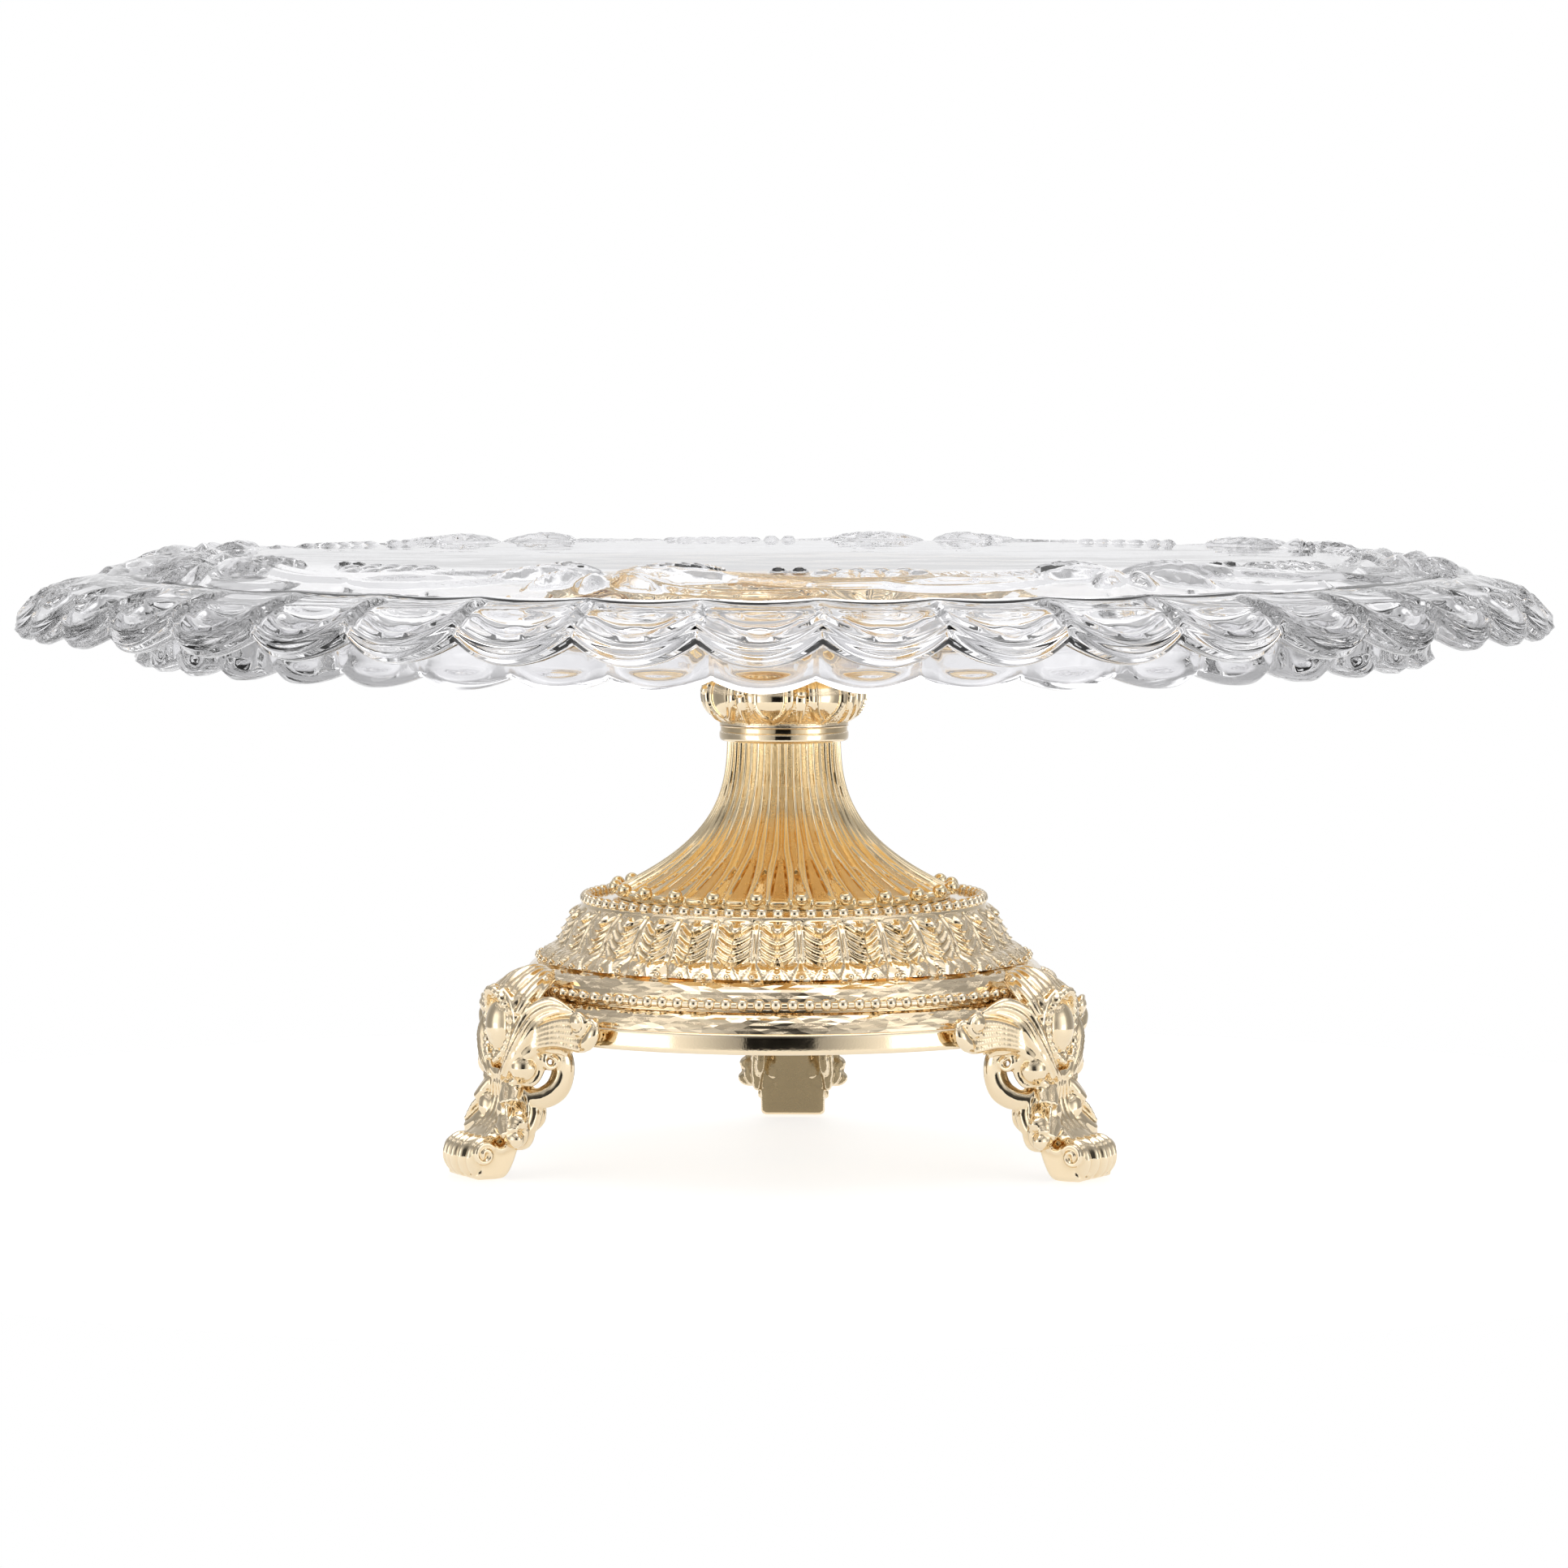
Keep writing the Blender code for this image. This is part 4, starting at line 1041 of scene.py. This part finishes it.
def leg_lower_leaves():
    """Flutes that run down to the toe between three pairs of leaves, on the +t side."""
    for t, wide in ((0.0, 0.85), (1.75, 0.85), (3.4, 0.8)):
        path = [
            (68.6, 0.35 * t + 0.2, 23.0), (68.2, 0.7 * t, 19.8), (68.0, t, 16.0),
            (69.4, 1.15 * t, 12.4), (71.9, 1.3 * t, 9.9), (74.2, 1.4 * t, 8.4),
        ]
        yield strand(
            path, [0.4, wide, wide, wide * 1.1, wide * 1.1, 0.5], [0.5, 1.0, 1.2, 1.2, 1.1, 0.5],
            up=[(1, 0, 0.2), (0.5, 0, 1)],
        )
    # small upper lobe that bulges beside the flutes
    path = [(67.0, 3.0, 21.4), (67.9, 4.9, 19.6), (69.0, 6.6, 17.6), (69.9, 7.7, 16.2)]
    yield strand(path, [0.9, 2.2, 2.7, 2.2], [1.0, 1.6, 1.6, 1.2], up=(1, 0.6, 0.5), groove=0.25)
    # large pointed leaf that flares outwards above the toe
    path = [(66.6, 2.6, 17.8), (67.8, 5.0, 15.0), (69.6, 8.0, 12.2), (71.2, 10.4, 10.0)]
    yield strand(path, [1.6, 3.4, 4.0, 2.2], [1.2, 1.8, 1.7, 1.1], up=(1, 0.1, 0.9), groove=0.4)
    for shift in (-1.5, 1.5):
        vein = [(r, t, z + shift * share) for (r, t, z), share in zip(path, (0.4, 1.0, 1.0, 0.5))]
        yield strand(vein, [0.4, 0.6, 0.6, 0.3], [1.4, 2.1, 1.9, 0.9], up=(1, 0.1, 0.9))
    # broad side leaf, seen face on from the side, with a smaller one behind and below it
    path = [(66.0, 5.0, 21.0), (65.4, 6.8, 17.0), (65.6, 7.4, 13.2), (67.2, 7.8, 10.2), (69.2, 7.6, 8.2)]
    yield strand(
        path, [1.0, 2.6, 3.3, 2.8, 1.2], [1.0, 1.6, 1.8, 1.6, 0.9], up=(0.35, 1, 0.1), ribs=4, rib=0.13,
        groove=0.1,
    )
    yield strand(path, [0.3, 0.4, 0.45, 0.4, 0.3], [1.2, 2.0, 2.15, 1.9, 1.0], up=(0.35, 1, 0.1))
    path = [(64.2, 6.0, 18.4), (62.7, 6.8, 15.6), (63.0, 7.2, 12.6), (65.0, 7.4, 10.0)]
    yield strand(path, [0.8, 1.7, 1.9, 1.0], [0.9, 1.4, 1.5, 0.9], up=(-0.3, 1, 0), groove=0.2)
    path = [(66.4, 6.8, 12.0), (65.6, 7.6, 10.0), (66.6, 7.8, 8.0), (68.6, 7.6, 7.0)]
    yield strand(path, [0.8, 1.7, 1.8, 1.0], [0.9, 1.5, 1.4, 0.8], up=(0.1, 1, 0.1), groove=0.25)
    yield ellipsoid((67.8, 4.4, 13.2), (3.0, 3.0, 4.4), tilt=-20)
    # rounded lobes and the plain web behind them, seen from the inner side
    yield ellipsoid((69.8, 9.7, 8.9), (1.9, 2.9, 2.0))
    yield ellipsoid((68.6, 9.5, 12.4), (2.0, 2.7, 1.9))
    yield ellipsoid((67.6, 7.0, 10.2), (1.7, 4.2, 3.6))


def leg_toe():
    """Rolled toe of five ridges, with a spiral on each side face."""
    for k in range(-2, 3):
        t = 2.85 * k
        back = 0.35 * abs(k) ** 1.5
        yield ellipsoid((75.4 - back, t, 4.7), (4.6, 1.75, 4.65), segments=40, rings=24)
    yield ellipsoid((75.0, 0, 4.6), (3.9, 7.0, 4.0))
    foot = []
    outline = [(77.4, 0.6), (75.8, 0.05), (71.6, 0.05), (69.6, 1.2), (67.8, 4.8)]
    outline += [(67.0, 8.4), (69.6, 8.2), (72.6, 6.6), (76.0, 4.6)]
    loop = resample(spline([*outline, outline[0]], 60), 60)[:-1]
    centre = loop.mean(axis=0)
    rounding = ((-7.3, 0.80), (-7.0, 0.92), (-6.2, 1.0), (0.0, 1.0), (6.2, 1.0), (7.0, 0.92), (7.3, 0.80))
    for t, shrink in rounding:
        ring = centre + (loop - centre) * shrink
        foot.append(np.stack([ring[:, 0], np.full(len(ring), t), ring[:, 1]], axis=-1))
    yield outward(grid_mesh("sole", np.swapaxes(np.array(foot), 0, 1), caps=True))
    for side in (-1, 1):
        spiral = []
        for k in range(16):
            a = math.radians(150 - 38 * k)
            size = 2.5 - 0.14 * k
            spiral.append((75.4 + size * math.cos(a), side * (7.1 + 0.03 * k), 5.6 + size * math.sin(a)))
        yield strand(spiral, [0.55, 0.6, 0.4], [0.9, 0.9, 0.8], up=(0, side, 0), count=70, sides=12)
        edge = [
            (67.6, side * 6.7, 7.6), (69.8, side * 7.0, 7.0), (72.0, side * 7.1, 6.4),
            (73.0, side * 7.2, 7.4),
        ]
        yield strand(edge, [0.5, 0.8, 0.8, 0.5], [0.6, 0.9, 0.9, 0.6], up=(0, side, 0.4))


def leg_sculpture():
    halves = [*leg_wing(), *leg_scroll(), *leg_lower_leaves()]
    middle = [leg_column(), *leg_shell(), *leg_cabochon(), *leg_toe()]
    mesh = merged("leg_parts", middle + halves + [mirrored(part) for part in halves])
    # nothing stands proud of the base ring's outer wall or below the floor
    for vertex in mesh.vertices:
        r, t, z = (c / MM for c in vertex.co)
        wall = leg_wall(z)
        reach = math.hypot(r, t)
        if reach < wall:
            vertex.co.x *= wall / reach
            vertex.co.y *= wall / reach
        vertex.co.z = max(vertex.co.z, 0.0002)
    obj = bpy.data.objects.new("leg_parts", mesh)
    bpy.context.scene.collection.objects.link(obj)
    remesh = obj.modifiers.new("fuse", "REMESH")
    remesh.mode = "VOXEL"
    remesh.voxel_size = VOXEL * MM
    relax = obj.modifiers.new("relax", "SMOOTH")
    relax.factor = 0.5
    relax.iterations = 6
    fused = bpy.data.meshes.new_from_object(obj.evaluated_get(bpy.context.evaluated_depsgraph_get()))
    bpy.data.objects.remove(obj)
    bpy.data.meshes.remove(mesh)
    return fused


def leg_wall(z):
    """How far out the base reaches at a height, which the leg stays clear of."""
    heights = [20.0, 28.2, 28.5, 33.0, 37.0, 37.6, 40.2, 40.8, 43.2, 43.4]
    return float(np.interp(z, heights, [0.0, 0.0, 61.9, 61.9, 61.2, 59.6, 59.6, 57.4, 57.4, 0.0]))


def legs():
    shape = leg_sculpture()
    for name, angle in LEG_ANGLES.items():
        mesh = shape.copy()
        # faces that look in towards the stand's axis below 30 mm, where shade falls, take the dark gold as
        # painted shade
        inner = [p.index for p in mesh.polygons if p.normal.x < -0.7 and p.center.z < 0.030]
        mesh.transform(mathutils.Matrix.Rotation(math.radians(angle), 4, "Z"))
        add_casting("scroll_" + name, mesh, POLISHED, [name])
        mesh.materials.append(SHADED_ROUGH_GOLD)
        for index in inner:
            mesh.polygons[index].material_index = 1


# ------------------------------------------------------------------ stage


def ramp(tree, source, stops):
    """A colour ramp from (position, grey) stops."""
    node = tree.nodes.new("ShaderNodeValToRGB")
    tree.links.new(source, node.inputs["Fac"])
    elements = node.color_ramp.elements
    while len(elements) < len(stops):
        elements.new(0.5)
    for element, (position, grey) in zip(elements, stops):
        element.position = position
        element.color = (grey, grey, grey * 1.01, 1)
    return node.outputs["Color"]


def math_node(tree, operation, first, second=None):
    node = tree.nodes.new("ShaderNodeMath")
    node.operation = operation
    tree.links.new(first, node.inputs[0])
    if isinstance(second, float):
        node.inputs[1].default_value = second
    elif second is not None:
        tree.links.new(second, node.inputs[1])
    return node.outputs["Value"]


FLOOR_RADIUS = 0.26


def studio():
    """A white studio: a bright strip at each side, a dark gap in front, and a small pale floor."""
    scene = bpy.context.scene
    scene.view_settings.view_transform = "Standard"
    scene.view_settings.look = "None"
    scene.cycles.use_denoising = True
    scene.cycles.max_bounces = 24
    scene.cycles.transmission_bounces = 20
    scene.cycles.glossy_bounces = 8
    scene.cycles.transparent_max_bounces = 16

    world = bpy.data.worlds.new("white_studio")
    scene.world = world
    world.use_nodes = True
    tree = world.node_tree
    background = tree.nodes["Background"]
    coords = tree.nodes.new("ShaderNodeTexCoord").outputs["Generated"]
    split = tree.nodes.new("ShaderNodeSeparateXYZ")
    tree.links.new(coords, split.inputs["Vector"])
    ahead = math_node(tree, "MULTIPLY", split.outputs["Y"], -1.0)
    azimuth = math_node(tree, "ABSOLUTE", math_node(tree, "ARCTAN2", split.outputs["X"], ahead))
    turn = map_range(tree, azimuth, 0.0, math.pi, 0.0, 1.0)
    # grey by direction: each stop is (degrees from the front, grey)
    sides = [(20, 0.50), (30, 0.78), (43, 1.15), (47, 2.6), (68, 2.6), (72, 1.1), (86, 0.42)]
    sides += [(110, 0.36), (150, 0.60), (170, 0.86), (180, 0.88)]
    upper_sides = [(d, min(g, 1.55)) for d, g in sides]
    low = ramp(tree, turn, [(d / 180, g) for d, g in [(0, 0.008), (13.5, 0.01), (15, 0.40), *sides]])
    high = ramp(tree, turn, [(d / 180, g) for d, g in [(0, 0.05), (12, 0.08), (17, 0.35), *upper_sides]])
    lift = map_range(tree, split.outputs["Z"], -0.02, 0.06, 0.0, 1.0)
    around = color_mix(tree, lift, low, high)
    up = map_range(tree, split.outputs["Z"], 0.35, 0.65, 0.0, 1.0)
    above = ramp(tree, split.outputs["Z"], [(0.0, 0.42), (0.76, 0.42), (0.84, 1.2)])
    mix = color_mix(tree, up, around, above)
    # the backdrop is plain white, and the greys are for reflections and light
    straight = tree.nodes.new("ShaderNodeLightPath").outputs["Is Camera Ray"]
    seen = color_mix(tree, straight, mix, (1.0, 1.0, 1.0))
    tree.links.new(seen, background.inputs["Color"])
    background.inputs["Strength"].default_value = 1.0

    mesh = bpy.data.meshes.new("studio_floor")
    corners = 96
    turns = [k * TAU / corners for k in range(corners)]
    rim = [(FLOOR_RADIUS * math.sin(a), FLOOR_RADIUS * math.cos(a), 0) for a in turns]
    mesh.from_pydata(rim[::-1], [], [tuple(range(corners))])
    floor = bpy.data.objects.new("studio_floor", mesh)
    scene.collection.objects.link(floor)
    material, _, shader = new_material("pale_floor")
    shader.inputs["Base Color"].default_value = (0.45, 0.45, 0.45, 1)
    shader.inputs["Roughness"].default_value = 0.6
    shader.inputs["Emission Color"].default_value = (1, 1, 1, 1)
    shader.inputs["Emission Strength"].default_value = 0.72
    mesh.materials.append(material)
    floor.location.z = -0.0001
    floor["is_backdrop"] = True

    lamp = bpy.data.lights.new("top_soft", "AREA")
    lamp.shape = "RECTANGLE"
    lamp.size, lamp.size_y = 1.0, 0.8
    lamp.energy = 3.0
    top = bpy.data.objects.new("top_soft", lamp)
    scene.collection.objects.link(top)
    top.location = (0.0, -0.1, 1.2)


CAMERA_DISTANCE = 1.279
CAMERA_HEIGHT = 0.166
CAMERA_TURN = math.radians(1.66)
LOOK_HEIGHT = 0.0809
LENS = 136.0


def camera():
    data = bpy.data.cameras.new("camera")
    data.lens = LENS
    data.sensor_width = 36.0
    data.clip_start = 0.01
    cam = bpy.data.objects.new("camera", data)
    bpy.context.scene.collection.objects.link(cam)
    place = (CAMERA_DISTANCE * math.sin(CAMERA_TURN), -CAMERA_DISTANCE * math.cos(CAMERA_TURN), CAMERA_HEIGHT)
    cam.location = place
    direction = mathutils.Vector((0.0, 0.0, LOOK_HEIGHT)) - mathutils.Vector(place)
    cam.rotation_euler = direction.to_track_quat("-Z", "Y").to_euler()
    bpy.context.scene.camera = cam


camera()
studio()
glass_plate()
support_disc()
neck_sleeve()
cup()
collar()
stem()
leaf_skirt()
upper_tier()
bead_ring()
base_ring()
legs()

for name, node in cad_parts.items():
    if name.startswith("glass_pad"):
        finish = SILICONE
    elif name.startswith(("leg_screw", "tie_", "washer", "lock_washer", "backing")):
        finish = STEEL
    else:
        continue
    node.data.materials.clear()
    node.data.materials.append(finish)

sizes = [[list(map(float, corner)) for corner in box] for box in (cad_box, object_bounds())]
